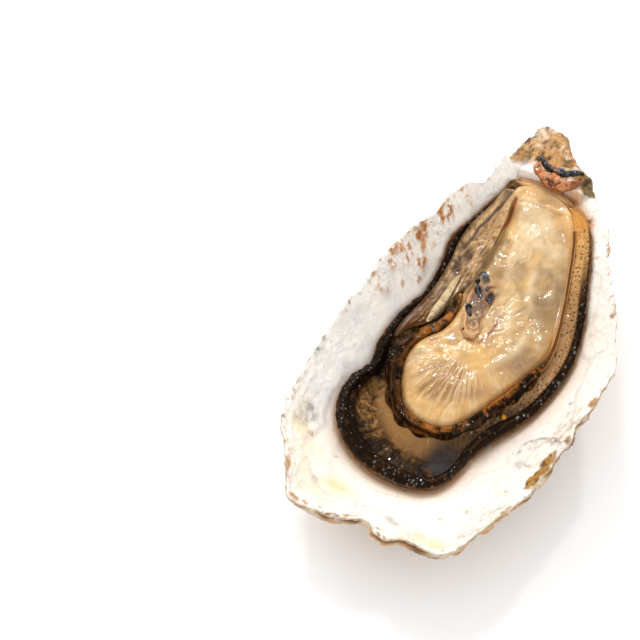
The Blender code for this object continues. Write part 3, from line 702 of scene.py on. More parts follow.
# Tinted places inside the cup, (x, y, radius, radius across, turn in degrees, strength)
BLUE_PLACES = [
    (-24.0, -14.0, 3.5, 10.0, 12, 0.7), (-25.5, -27.0, 3.5, 8.0, 0, 0.8), (-19.5, 0.0, 2.5, 8.0, 20, 0.5),
    (-3.0, -46.0, 8.0, 2.5, 10, 0.5), (-9.5, 29.0, 2.0, 6.0, 30, 0.5),
]
WARM_PLACES = [
    (12.0, -38.0, 9.0, 8.0, 0, 0.9), (19.0, -24.0, 4.0, 10.0, -25, 0.7), (25.5, -2.0, 2.5, 12.0, -8, 0.4),
    (2.0, -45.0, 12.0, 4.0, 0, 0.6), (22.0, 12.0, 2.0, 9.0, 10, 0.4), (4.5, 37.5, 3.5, 1.5, 0, 0.9),
    (-18.5, 11.0, 4.0, 10.0, 22, 0.9),
]
YELLOW_PLACES = [
    (-23.5, -42.5, 3.0, 5.5, 30, 0.75), (-15.5, -46.0, 5.0, 2.0, -18, 0.75),
    (-18.5, -50.5, 4.0, 1.8, -10, 0.5), (6.8, -52.5, 5.0, 1.6, 5, 0.9), (-27.5, -37.0, 1.8, 5.0, 10, 0.6),
    (0.5, -54.0, 4.0, 1.2, 0, 0.5),
]
# Grey places: grey smudges, and painted shade in the scoops near the lip
GREY_MARK_AND_SHADE_PLACES = [
    (-29.6, -19.5, 1.3, 3.6, 10, 1.6), (-31.0, -13.0, 1.0, 3.5, -20, 1.1),
    (-26.8, -33.6, 1.9, 2.2, 30, 1.2), (-27.6, -35.6, 1.5, 1.8, 30, 1.1), (21.0, -23.2, 3.4, 1.6, 35, 1.1),
    (17.2, -42.8, 2.6, 1.8, 50, 1.2), (13.8, -48.3, 2.6, 1.2, 35, 1.2), (-1.6, -50.8, 2.6, 1.0, -20, 0.9),
    (18.9, -27.6, 1.6, 2.8, -15, 0.9), (-12.8, 23.4, 2.2, 0.8, 40, 0.35), (11.5, -42.0, 1.2, 0.9, 0, 0.4),
]
CRUST_PLACES = [
    (-22.8, 3.0, 1.7, 5.0, 18, 1.0), (-20.2, 9.4, 3.0, 4.4, 20, 1.0), (-17.6, 15.2, 3.0, 4.0, 25, 1.0),
    (-15.6, 20.4, 2.4, 3.6, 25, 0.9), (-17.2, 7.4, 2.0, 3.4, 20, 0.8), (-13.0, 27.5, 1.4, 3.0, 40, 0.5),
]
OCHRE_PATCH = [
    (24.6, -26.6), (23.1, -28.4), (22.4, -30.4), (21.6, -32.4), (21.4, -35.0), (23.2, -35.6),
    (25.4, -30.5),
]
CHIPS = [
    (27.4, -13.6), (25.4, -15.0), (23.8, -18.6), (22.8, -22.6), (24.2, -24.4), (26.6, -20.6),
    (28.2, -16.4),
]
BEAK_PATCH = [
    (-6.4, 39.2), (-5.6, 44.0), (-6.5, 50.0), (-3.5, 58.0), (4.5, 58.0), (9.0, 50.0), (14.5, 43.0),
    (16.0, 38.0), (12.4, 36.6), (9.6, 39.6), (6.0, 39.4), (2.0, 40.0), (-0.4, 41.6), (-2.6, 40.4),
]
DARK_CRUST = [(10.2, 42.6), (12.2, 41.8), (15.2, 37.4), (13.8, 35.8), (12.2, 37.2), (11.0, 39.6)]
GOLD_PATCH = [
    (7.6, 37.2), (10.2, 38.2), (12.4, 36.0), (15.6, 32.4), (16.6, 29.6), (14.0, 30.6), (10.5, 34.4),
]
KNOB = (-6.6, 39.4, 1.7)
KNOB_HEIGHT = 1.1
BROKEN_FLAKE = (21.6, -25.0, 4.0, 3.6)  # its middle and half sizes
FLAKE_STEP = 1.7
HINGE_CRACK = (15.2, 31.2, 1.1)

# Rings and leaves
SHELL_POINTS = 760
INSIDE_RINGS = ((0.2, 0.5, 7), (0.5, 0.80, 30), (0.80, 1.0, 46))
LIP_LAYERS = ((0.25, 0.12), (0.45, -0.10), (0.6, 0.22), (0.85, -0.05), (1.0, 0.15))  # drop and reach
SMALL_LEAVES = 3
LEAF_STEPS = (1.0, 0.92, 0.7, 0.4, 0.12, -0.12)

# Places where the outermost leaf sticks out past the lip, (x, y, radius, reach)
LEAF_OUT = [
    (-13.0, -54.5, 7.0, 0.9), (-4.0, -55.0, 3.0, 0.7), (4.0, -56.5, 5.0, 1.2), (23.5, -33.0, 4.0, 1.0),
    (27.5, -21.0, 3.0, 0.5),
]


# Shell

def hinge_shares(middle, rim):
    """How far along each way out to the lip the step's foot and top lie."""
    from_middle, from_rim = past_hinge(*middle.T), past_hinge(*rim.T)
    found = []
    for level, ring in zip((-HINGE_STEP, 0), STEP_RINGS):
        crossing = (level - from_middle) / (from_rim - from_middle)
        found.append(np.where(from_rim > level, np.minimum(crossing, ring), ring))
    return found


def inside_plans(rim, middle):
    """Rings in plan from the cup's middle to its lip, with two of them kept along the hinge's step."""
    foot, top = hinge_shares(middle, rim[:, :2])
    rows = []
    for ring in np.concatenate([np.linspace(*span)[:-1] for span in INSIDE_RINGS] + [[1.0]]):
        ends = [np.interp(ring, (0, *STEP_RINGS, 1), (0, low, high, 1)) for low, high in zip(foot, top)]
        rows.append(middle + (rim[:, :2] - middle) * np.array(ends)[:, None])
    return np.array(rows)


def shell_inside_rows(rim, middle):
    """The cup's inner side, with shelves, chalky lumps, crust and flakes, and the beak's stone."""
    plans = inside_plans(rim, middle)
    x, y = plans[..., 0], plans[..., 1]
    from_lip, _ = SHELL_OUTLINE.near(x, y)
    from_meat, _ = MANTLE_OUTLINE.near(x, y)
    stone = patch(x, y, BEAK_PATCH, 0.7)
    margin = 1 - ramp(from_lip, 2.0, 8.0)
    # painted_lit_side is 1 on the lower right of the cup, the side that faces the key light
    low_side, painted_lit_side = ramp(-y, 12.0, 26.0), ramp(0.8 * x - y, -4.0, 30.0)
    crust = sum(strength * blot(x, y, *place) for *place, strength in CRUST_PLACES)
    crust = ramp(crust + 0.3 * fractal(x, y, 7, 3.0, 2, 75), 0.25, 0.7)
    nodules = bumps(x, y, 1.0, 25) * ramp(fractal(x, y, 4, 2.2, 2, 27), -0.4, 0.4)
    shelf = from_lip + 3.2 * fractal(x, y, 3, 9.0, 3, 71)
    flake = (from_lip + 1.4 * fractal(x, y, 1, 4.0, 3, 77)) / FLAKE_STEP % 1
    wander = 0.75 + 0.6 * fractal(x, y, 6, 3.5, 3, 41)
    ragged, fine = fractal(x, y, 2, 1.6, 3, 45), fractal(x, y, 5, 0.9, 3, 51)
    broken = 0.30 + 0.70 * ramp(ragged + 0.6 * fine, -0.1, 0.6)
    flake_x, flake_y, half_x, half_y = BROKEN_FLAKE
    around = np.hypot((x - flake_x) / half_x, (y - flake_y) / half_y) + 0.12 * ragged
    z = shell_inside(x, y) + KNOB_HEIGHT * blot(x, y, *KNOB)
    z -= 0.34 * ramp(shelf, 4.6, 5.6) + 0.22 * low_side * ramp(shelf, 8.8, 9.6)
    z += 0.30 * margin * (0.4 + 0.6 * low_side) * (flake - 0.5) * ramp(from_lip, 0.2, 1.0)
    z += (0.07 + 0.30 * margin) * fractal(x, y, 8, 4.5, 3, 11) * (1 - 0.6 * stone)
    z += margin * ramp(from_lip, -0.5, 1.2) * 0.17 * fractal(x, y, 9, 1.3, 2, 15)
    z += crust * (0.35 * fractal(x, y, 4, 1.4, 3, 21) + 0.55 * nodules)
    z += stone * (0.80 * fractal(x, y, 2, 2.4, 4, 31) + 0.35 * bumps(x, y, 1.3, 5) - 0.2)
    z += 0.4 * (1 - ramp(around, 0.9, 1.08))
    tint = paint(
        NACRE,
        (CHALK, (0.25 + 0.75 * margin) * (0.75 + 0.5 * fractal(x, y, 1, 6.0))),
        # warmer where the key light falls: painted light
        (WARM, painted_lit_side * (0.75 + 0.35 * fractal(x, y, 8, 7.0, 3, 43))),
    )
    for colour, places in ((NACRE_BLUE, BLUE_PLACES), (WARM, WARM_PLACES), (YELLOW, YELLOW_PLACES)):
        tint = paint(tint, *((colour, strength * blot(x, y, *place) * wander) for *place, strength in places))
    # grey smudges, some of them painted shade in the scoops
    for *place, strength in GREY_MARK_AND_SHADE_PLACES:
        smudge = blot(x, y, *place) * (1 + 0.7 * wander) + 0.35 * fractal(x, y, 7, 2.8, 3, 49)
        tint = paint(tint, (GREY_MARK_AND_SHADE, 0.62 * strength * ramp(smudge, 0.25, 1.3) * broken))
        z += 0.12 * strength * ramp(smudge, 0.2, 0.8) * (ragged + 0.7 * fine)
    at_edge = 1 - ramp(from_lip + 0.7 * ragged, 0.1, 1.0)
    chips = patch(x, y, CHIPS, 0.5)
    ochre = ramp(patch(x, y, OCHRE_PATCH, 0.9) + 0.5 * ragged, 0.4, 0.6)
    brown, cream = 0.9 * ramp(fine, -0.05, 0.35), 0.6 * ramp(ragged, 0.3, 0.8)
    tint = paint(
        tint,
        # grey at the foot of each flake's step and along the shelf's step: painted shade
        (GREY_MARK_AND_SHADE, 0.22 * margin * ramp(0.22 - flake, 0, 0.2) * low_side * ramp(wander, 0.5, 1.1)),
        (GREY_MARK_AND_SHADE, 0.14 * (1 - ramp(np.abs(shelf - 5.1), 0.2, 0.9)) * ramp(wander, 0.4, 1.0)),
        (CRUST_GOLD, 0.9 * crust * ramp(nodules + 0.5 * fine + 0.4 * ragged, 0.25, 0.7)),
        (RUST, 0.8 * crust * ramp(fine - 0.3 * ragged + 0.3 * nodules, 0.35, 0.8)),
        (EDGE_TAN, 0.9 * at_edge * ramp(fractal(x, y, 7, 2.4, 3, 61) + 0.5 * fine, 0.0, 0.7)),
        (LEAF_BROWN, 0.8 * at_edge * ramp(fractal(x, y, 9, 1.4, 3, 63) + 0.4 * fine, 0.35, 0.8)),
        (TAN, 0.6 * chips * ramp(np.cos(math.tau * from_lip / 1.9 + 6 * ragged) + ragged, 0.2, 1.2)),
        (GREY_MARK_AND_SHADE, 0.4 * chips * ramp(wander + ragged, 0.9, 1.5)),
        (paint(OCHRE, (LEAF_BROWN, brown), (LEAF_CREAM, cream)), ochre),
        # grey round the foot of the broken flake's raised edge: painted shade
        (GREY_MARK_AND_SHADE, 0.8 * (1 - ramp(np.abs(around - 1.02), 0.02, 0.14)) * ramp(wander + 0.6 * ragged, 0.5, 0.9)),
        # brown halo round the meat: partly stain, partly painted contact shade, stronger on the lit side as
        # painted light
        (MEAT_STAIN_AND_SHADE, 0.45 * (1 - ramp(from_meat, 0.1, 4.5)) * painted_lit_side + 0.5 * (1 - ramp(from_meat, 0.1, 1.2))),
        (GOLD_STAIN, 0.85 * patch(x, y, GOLD_PATCH, 1.0) * (0.8 + 0.4 * ragged)),
        (LEAF_BROWN, 0.9 * ramp(blot(x, y, *HINGE_CRACK) + 0.3 * ragged, 0.4, 0.9)),
        (beak_rock(x, y, from_lip, ragged, fine), stone),
    )
    nacre = np.clip(1 - 0.8 * stone - 0.5 * crust - 0.8 * ochre - 0.4 * margin, 0, 1)
    return np.dstack([plans, z]), tint, nacre


def beak_rock(x, y, from_lip, ragged, fine):
    """The beak's tan, pale, rusty and dark stone."""
    dark_crust = patch(x, y, DARK_CRUST, 0.5)
    return paint(
        BEAK_TAN,
        (BEAK_PALE, ramp(fractal(x, y, 3, 2.6, 4, 71), -0.1, 0.8)),
        (GOLD_STAIN, 0.6 * ramp(fractal(x, y, 6, 3.4, 3, 73), 0.1, 0.7)),
        (RUST, 0.7 * ramp(fractal(x, y, 4, 1.7, 3, 79), 0.25, 0.8)),
        (BEAK_OLIVE, 0.7 * ramp(-fractal(x, y, 2, 2.2, 3, 83), 0.1, 0.6)),
        (BEAK_DARK, 0.85 * ramp(-fractal(x, y, 2, 0.8, 3, 81), 0.42, 0.8)),
        (BEAK_DARK, 0.6 * (1 - ramp(from_lip + 0.8 * ragged, 0.2, 1.8)) * ramp(fine, -0.3, 0.4)),
        (BEAK_OLIVE, 0.9 * dark_crust),
        (BEAK_DARK, 0.95 * dark_crust * ramp(fine, -0.1, 0.4)),
    )


def leaf_tint(x, y, height, step, seed):
    """Tan, gold, cream and dark patches of the outside, pale along each leaf's edge, with painted shade under
    it.
    """
    # dark under each leaf's edge is painted shade, and dark in random patches
    under_shade_and_patches = 0.8 * ramp(-step, -0.35, 0.1) + 0.7 * ramp(fractal(x, y, 0.7 * height, 6.0, 3, 53), 0.35, 0.9)
    return paint(
        LEAF_TAN,
        (LEAF_BROWN, 0.8 * ramp(-fractal(x, y, height, 5.0, 3, 43), 0.0, 0.8)),
        (LEAF_GOLD, 0.8 * ramp(fractal(x, y, height, 7.0, 3, 57), 0.0, 0.7)),
        (LEAF_CREAM, 0.9 * ramp(fractal(x, y, 1.3 * height, 3.5, 3, 47), 0.05, 0.7)),
        (LEAF_CREAM, 0.5 * ramp(step, 0.75, 1.0) * (0.6 + 0.6 * grain(x, y, seed, 2.0))),
        (LEAF_DARK, under_shade_and_patches),
    )


def lamella_rows(rim, middle, outward, lip_height):
    """The outside: overlapping leaves from the lip down to the flat spot, each with smaller leaves on it."""
    spacing = (OUTER_TOP_SHARE - FLAT_SHARE) / LAMELLAE
    x, y = rim[:, 0], rim[:, 1]
    reach = 0.15 + swell(x, y, LEAF_OUT) + 0.35 * fractal(x, y, 4, 2.2, 3, 35)
    rows, tints = [], []
    for number, minor in itertools.product(reversed(range(LAMELLAE)), reversed(range(SMALL_LEAVES))):
        outermost = number == LAMELLAE - 1
        wander = 0.3 * spacing * grain(x, y, 9 * number, 13.0, 5) * (not outermost)
        flare = LAMELLA_HEIGHT * (0.75 + 0.75 * grain(x, y, 7 * number, 6.0, 7))
        ragged = 1 + 0.45 * fractal(x, y, 5 * number, 1.8, 3, 17)
        small = 0.36 + 0.40 * grain(x, y, 3 * minor + 11 * number, 3.0, 27)
        for step in LEAF_STEPS:
            t = np.clip((minor + step) / SMALL_LEAVES, -0.1, 1)
            share = FLAT_SHARE + (number + t) * spacing + wander
            share = np.clip(share, FLAT_SHARE + 0.004 * (1 + number + max(t, 0)), None)
            climb = np.clip((share - FLAT_SHARE) / (1 - FLAT_SHARE), 0, 1)
            height = (lip_height - LIP) * climb**OUTER_POWER
            lift = flare * max(t, 0) ** 2 * (ragged if t > 0.8 else 1)
            lift = np.minimum(lift + small * max(step, 0) ** 2 - LAMELLA_UNDERCUT, 0.55 * height)
            plan = middle + (rim[:, :2] - middle) * share[:, None]
            plan = plan + outward * (0.8 * lift * ramp(climb, 0.02, 0.2))[:, None]
            z = height - 0.5 * lift
            if outermost and minor == SMALL_LEAVES - 1 and step > 0.9:
                plan = rim[:, :2] + outward * reach[:, None]
                z = lip_height - LIP + (0.25 if step == 1.0 else -0.15)
            rough = 0.10 * fractal(plan[:, 0], plan[:, 1], z, 1.0, 2, 37)
            rows.append(np.column_stack([plan + outward * rough[:, None], np.maximum(z + rough, 0.02)]))
            tints.append(leaf_tint(x, y, 4 * (number + t), step, 3 * number + minor))
    return rows, tints


def make_shell():
    rim = evenly(SHELL_OUTLINE.curve, int(SHELL_POINTS * FINE), True)
    outward, middle = SHELL_OUTLINE.outward(rim), SHELL_OUTLINE.middle(rim)
    x, y = rim[:, 0], rim[:, 1]
    crag = LIP_ROUGH[0] * grain(x, y, 0, LIP_ROUGH[1], 3) + 0.32 * fractal(x, y, 0, 1.8, 3, 13)
    rim[:, :2] += outward * crag[:, None]
    inner, inner_tint, nacre = shell_inside_rows(rim, middle)
    lip_height = inner[-1, :, 2]
    layers, layer_tints = [], []
    for drop, out in LIP_LAYERS:
        uneven = out + 0.16 * grain(x, y, 6 * drop, 1.2, 19)
        plan = rim[:, :2] + outward * uneven[:, None]
        layers.append(np.column_stack([plan, lip_height - drop * (LIP - 0.2)]))
        gold = ramp(grain(x, y, 3 * drop, 3.0, 23), -0.5, 0.5) * drop
        brown = 0.8 * ramp(drop, 0.5, 0.9) * gold
        layer_tints.append(paint(LEAF_CREAM, (LEAF_GOLD, gold), (LEAF_BROWN, brown)))
    outer, outer_tint = lamella_rows(rim, middle, outward, lip_height)
    flat, flat_tint = [], []
    for share in (1.0, 0.7, 0.4):
        ring = middle + (rim[:, :2] - middle) * FLAT_SHARE * share
        flat.append(np.column_stack([ring, np.zeros(len(rim))]))
        flat_tint.append(leaf_tint(ring[:, 0], ring[:, 1], 0, 0.5, 1))
    rings = np.concatenate([inner, layers, outer, flat])
    tints = np.concatenate([inner_tint, layer_tints, outer_tint, flat_tint])
    inside = np.zeros(rings.shape[:2])
    inside[: len(inner)] = nacre
    closed_piece("shell_looks", rings, tints, shell_material(), "shell", {"inside": inside})


# Lower mantle

FRINGE_BLACK = rgb(17, 10, 6)
FRINGE_BROWN = rgb(84, 52, 26)
FRINGE_EDGE = rgb(122, 76, 38)
DARK_GLOSS = (1.0, 0.72, 0.52)
STRIPE_BEIGE = rgb(158, 116, 70)
LOBE_DARK = rgb(56, 38, 22)
LOBE_BLACK = rgb(26, 20, 16)
LOBE_OLIVE = rgb(120, 86, 48)
LOBE_BEIGE = rgb(184, 136, 84)
LOBE_BLUE = rgb(58, 56, 58)
BAND_BEIGE = rgb(162, 124, 83)
BAND_CREAM = rgb(203, 156, 98)
BAND_GOLD = rgb(208, 144, 72)
BAND_DARK = rgb(74, 54, 36)
COLLAR_TAN = rgb(218, 178, 124)
# gold of a painted highlight on the dark sheet
AMBER_GLINT = rgb(214, 152, 48)
LOBE_SPECKLED = [
    (-17.4, -19.6), (-18.2, -26.0), (-16.6, -31.6), (-12.6, -33.4), (-11.6, -30.0), (-13.6, -25.6),
    (-13.8, -20.6),
]
LOBE_MIDDLE = [
    (-14.4, -22.6), (-11.2, -28.2), (-5.8, -31.2), (0.4, -31.2), (2.4, -28.8), (-2.0, -27.0),
    (-8.0, -26.4), (-12.6, -22.0),
]
KNOT = [
    (-19.2, -14.8), (-16.6, -10.4), (-13.2, -9.6), (-11.6, -13.4), (-12.8, -17.6), (-16.4, -19.2),
    (-18.8, -18.2),
]
# a gold spot on the dark sheet: a painted highlight
AMBER_GLINT_SPOT = (12.2, -17.9, 0.8)
BLUE_HOLLOW = (4.2, -31.4, 5.6, 4.6)
MANTLE_POINTS = 1100
PAPILLA = 0.46
FRINGE_RIDGE = 1.45  # spacing of the ridges along the fringe
HINGE_COLLAR = 19.4  # height of the soft edge below the ligament


def mantle_fine(x, y):
    """The lower mantle's upper side, with the groove beside the body's upper half filled."""
    top = mantle_top(x, y)
    to_body, _ = BODY_OUTLINE.near(x, y)
    under = 1 - ramp(to_body, 0.6, 2.2)
    far = 2.2 * ramp(y, 16.0, 25.0) * (x > 0)
    beside = 1 - ramp(to_body, 1.5 + far, 4.5 + far)
    reach = np.where(BODY_OUTLINE.holds(x, y), under, beside)
    right, left = ramp(x, 7.0, 10.0) * ramp(y, -6.0, 6.0), (1 - ramp(x, -2.0, 1.0)) * ramp(y, 0.0, 6.0)
    level = BODY_LEVEL - 0.9 + BODY_RISE * ramp(y, *BODY_RISE_RUN)
    return top + np.maximum(level - top, 0) * reach * (right + left)


def hinge_collar(x, y):
    """The soft edge that climbs to the ligament."""
    return HINGE_COLLAR + 0.25 * np.clip(past_hinge(x, y) + 3.8, 0, 3.6)


def make_mantle_lower():
    insets = np.concatenate([np.arange(0, 5.2, 0.16), np.arange(5.2, 15, 0.4)])
    edge, plans = laid_plans(MANTLE_OUTLINE, MANTLE_POINTS, insets, (0.8, 0.5, 0.2))
    out = MANTLE_OUTLINE.outward(edge)
    scallop = 0.18 * fractal(edge[:, 0], edge[:, 1], 0, 1.2, 3, 3)
    at_hinge = ramp(edge[:, 1], 31.0, 36.0)
    for row, distance in enumerate(insets[:12]):
        plans[row] += out * (scallop * (1 - distance / 2))[:, None]
        plans[row, :, 1] += 0.5 * at_hinge * (1 - distance / 2)
    x, y, inside, width = depth_in(MANTLE_OUTLINE, plans)
    fringe = 1 - ramp(inside, 0.85 * width, 1.10 * width)
    collar = ramp(past_hinge(x, y), -3.8, -2.4) * ramp(x, -4.5, -3.0) * (1 - ramp(x, 14.5, 17.0))
    knot = patch(x, y, KNOT, 0.8)
    ridge = np.cos(math.tau * (inside / FRINGE_RIDGE - 0.36 + 0.24 * fractal(x, y, 0, 3.0, 2)))
    granules, speckle = bumps(x, y, PAPILLA, 9), fractal(x, y, 0, 0.75, 3, 35)
    rays = fractal(*np.broadcast_arrays(edge[:, 0], edge[:, 1], inside * 0.12), 0.55, 2, 5)
    rough = np.maximum(fringe * ramp(inside, 0.0, 0.4), knot) * (1 - collar)
    z = mantle_fine(x, y) + 0.07 * width * fringe * ramp(inside, 0.0, 0.4) * (ridge - 0.6)
    z += rough * (0.12 * granules + 0.26 * speckle) + 0.5 * knot
    z = np.maximum(z, collar * (hinge_collar(x, y) + 0.15 * fractal(x, y, 0, 2.2)))
    z += (1 - rough) * (0.05 * rays + 0.12 * fractal(x, y, 0, 2.5, 2, 7))
    light = ramp(y, 10, 27) * ramp(x, -12, 4)
    black = fringe * (1 - 0.95 * light * ramp(inside, 0.45, 0.9)) * (1 - 0.6 * ramp(y, 27, 31))
    tint = paint(
        mantle_tint(x, y, inside - width, rays),
        (STRIPE_BEIGE, ramp(inside, width, 1.3 * width) * ramp(y, 8, 18) * (1 - ramp(x, -1, 2))),
        (fringe_tint(x, y, inside, ridge, speckle, light), black),
        (FRINGE_BLACK, 0.94 * knot * (0.9 + 0.2 * granules)),
        (COLLAR_TAN, collar),
        (LINE_BROWN, 0.6 * collar * (1 - ramp(inside, 0.1, 0.5))),
    )
    wet = rough * np.maximum(droplets(x, y, 0.8, 0.16, 71), droplets(x, y, 1.3, 0.03, 73))
    wet = np.maximum(wet, 0.9 * (1 - rough) * droplets(x, y, 1.1, 0.05, 77))
    skin = flesh("mantle_lower_wet", (0.5, 0.15), (0.10, 0.30), MANTLE_RELIEF, 0.10, 0.14, DARK_GLOSS)
    laid_piece("mantle_lower", plans, z, mantle_bed, tint, skin, wet)


def fringe_tint(x, y, inside, ridge, speckle, light):
    """The black fringe, brown in its valleys and along its edge."""
    valley = ramp(-ridge, 0.2, 1.0) * ramp(fractal(x, y, 2, 2.4, 3, 31), -0.2, 0.7)
    upper_left = ramp(y, 8, 18) * (1 - ramp(x, -4, 0))
    brown_edge = 1 - ramp(inside, 0.04, 0.26 + 0.40 * np.maximum(upper_left, light))
    return paint(
        FRINGE_BLACK,
        (FRINGE_BROWN, 0.5 * valley),
        (FRINGE_BROWN, 0.35 * ramp(speckle, 0.3, 0.8)),
        (FRINGE_BROWN, 0.7 * light * ramp(fractal(x, y, 7, 1.2, 2), -0.5, 0.5)),
        (FRINGE_EDGE, brown_edge * (0.75 + 0.4 * fractal(x, y, 3, 1.6, 2))),
    )


def mantle_tint(x, y, depth, rays):
    """The sheet inside the fringe: the lower lobe's zones and the speckled band on the right."""
    mottle, small = fractal(x, y, 0, 1.1, 3, 21), fractal(x, y, 0, 0.6, 3, 29)
    speckled = patch(x, y, LOBE_SPECKLED, 0.9)
    streaks = (0.96 - 0.28 * ramp(rays, -0.2, 0.5)) * (1 - ramp(depth + 1.1 * rays, 0.8, 5.2))
    apart, value = cells(x, y, 0.72, 63)
    near_fringe = 1 - ramp(depth, 0.0, 2.4)
    size = 0.24 + 0.14 * value + 0.10 * small
    dots = (1 - ramp(apart, 0.5 * size, size + 0.05)) * (1 - ramp(depth, 2.6, 3.8))
    dots = dots * ramp(value + 1.3 * near_fringe - 0.5 * ramp(y, 2, 16), 0.0, 0.3)
    band = paint(
        BAND_BEIGE,
        (BAND_CREAM, ramp(y, 8, 24)),
        (BAND_DARK, ramp(-y + 0.3 * x, 15.0, 21.0) * (0.9 + 0.2 * mottle)),
        (FRINGE_BLACK, 0.92 * dots),
        # the gold spot: a painted highlight
        (AMBER_GLINT, ramp(blot(x, y, *AMBER_GLINT_SPOT) + 0.2 * mottle, 0.5, 0.9)),
        (BAND_GOLD, 0.8 * ramp(y + 1.5 * mottle, 25, 31)),
    )
    right = np.maximum(ramp(x - 0.35 * y, 4.0, 9.0) * ramp(y, -33, -24), ramp(x, 2.0, 6.0) * ramp(y, 18, 26))
    return paint(
        LOBE_DARK,
        (LOBE_OLIVE, ramp(mottle, -0.3, 0.6)),
        (LOBE_OLIVE, 0.9 * speckled),
        (LOBE_BEIGE, 0.6 * speckled * ramp(fractal(x, y, 0, 0.8, 3, 27), 0.1, 0.5)),
        (FRINGE_BLACK, 0.8 * speckled * ramp(small - 0.3 * mottle, 0.1, 0.45)),
        (LOBE_BEIGE, 0.95 * patch(x, y, LOBE_MIDDLE, 1.8)),
        (LOBE_BLACK, ramp(-y, 27.0, 31.0) * streaks),
        (LOBE_BLUE, 0.97 * ramp(blot(x, y, *BLUE_HOLLOW), 0.25, 0.75)),
        (band, right),
    )


# Body

CREAM = rgb(193, 156, 105)
CREAM_YELLOW = rgb(206, 165, 103)
CREAM_MILK = rgb(219, 196, 157)
CREAM_TAN = rgb(204, 152, 88)
CREAM_MAUVE = rgb(164, 122, 86)
CREAM_GREY = rgb(140, 110, 73)
# tan beside the milky fold, and painted shade along the body's lower edge
BODY_RIM_TAN_AND_SHADE = rgb(180, 122, 62)
LINE_BROWN = rgb(140, 74, 24)
STRIA = rgb(138, 98, 58)
# a raised milky fold near the hinge, painted pale: partly its milky tone, partly a painted reflection of the
# soft light
MILKY_LEAF_AND_SHEEN = [
    (-1.0, 35.0), (3.9, 32.4), (8.1, 28.8), (11.4, 25.6), (13.4, 22.3), (12.4, 20.0), (8.0, 20.6),
    (4.6, 21.6), (2.0, 23.8), (0.2, 27.0), (-0.7, 31.0),
]
BODY_TAN = [(4.6, 33.6), (8.6, 30.0), (12.2, 26.0), (13.8, 23.6), (13.2, 28.0), (10.6, 32.6), (7.0, 34.8)]
GREY_GLASS = [(9.0, 17.6), (12.6, 16.4), (14.6, 11.0), (15.0, 5.2), (12.6, 2.4), (9.8, 7.0), (8.4, 12.6)]
STRIA_FIELD = [
    (-8.4, -19.6), (-6.0, -13.6), (-0.6, -11.2), (5.2, -13.6), (5.8, -16.6), (1.4, -20.4), (-4.2, -21.6),
]
# grey in a crease on the body: painted shade
CREASE_SHADE = (4.0, 1.0, 1.4, 3.5)
BODY_POINTS = 640
FAN_CENTRE = (0.4, -6.0)
SKIN_LINE = [(-1.6, -4.8), (0.9, -5.4), (2.7, -3.6), (4.0, 1.4)]
HINGE_LINE = [(-1.9, 31.8), (-1.8, 29.1), (-1.9, 26.1), (-2.7, 24.0), (-3.2, 20.0)]

# White folds on the body's right, (x, y, radius, radius across, turn in degrees, strength)
FOLDS = [
    (8.5, 12.0, 1.2, 5.5, 12, 1.0), (6.2, 3.5, 1.3, 5.0, 8, 0.9), (10.2, -2.5, 1.0, 4.5, -12, 0.9),
    (5.0, 24.0, 1.6, 7.0, -10, 0.5), (12.8, 3.0, 0.9, 4.0, 14, 0.7), (7.8, -7.5, 0.9, 3.5, -35, 0.8),
    (2.6, 14.0, 1.0, 4.0, 8, 0.5), (13.0, 13.0, 0.8, 3.5, 4, 0.5),
]

# Mauve places on the body, in the same order
BODY_MAUVE = [
    (5.0, -17.2, 7.5, 1.5, 30, 0.6), (-8.6, -6.6, 2.4, 1.8, -40, 0.75), (-10.0, -18.0, 1.5, 5.0, 0, 0.35),
    (-5.0, -4.0, 2.4, 1.8, 0, 0.5), (8.5, -9.0, 2.0, 3.5, -30, 0.45), (-2.0, -15.0, 4.0, 2.5, 10, 0.35),
]


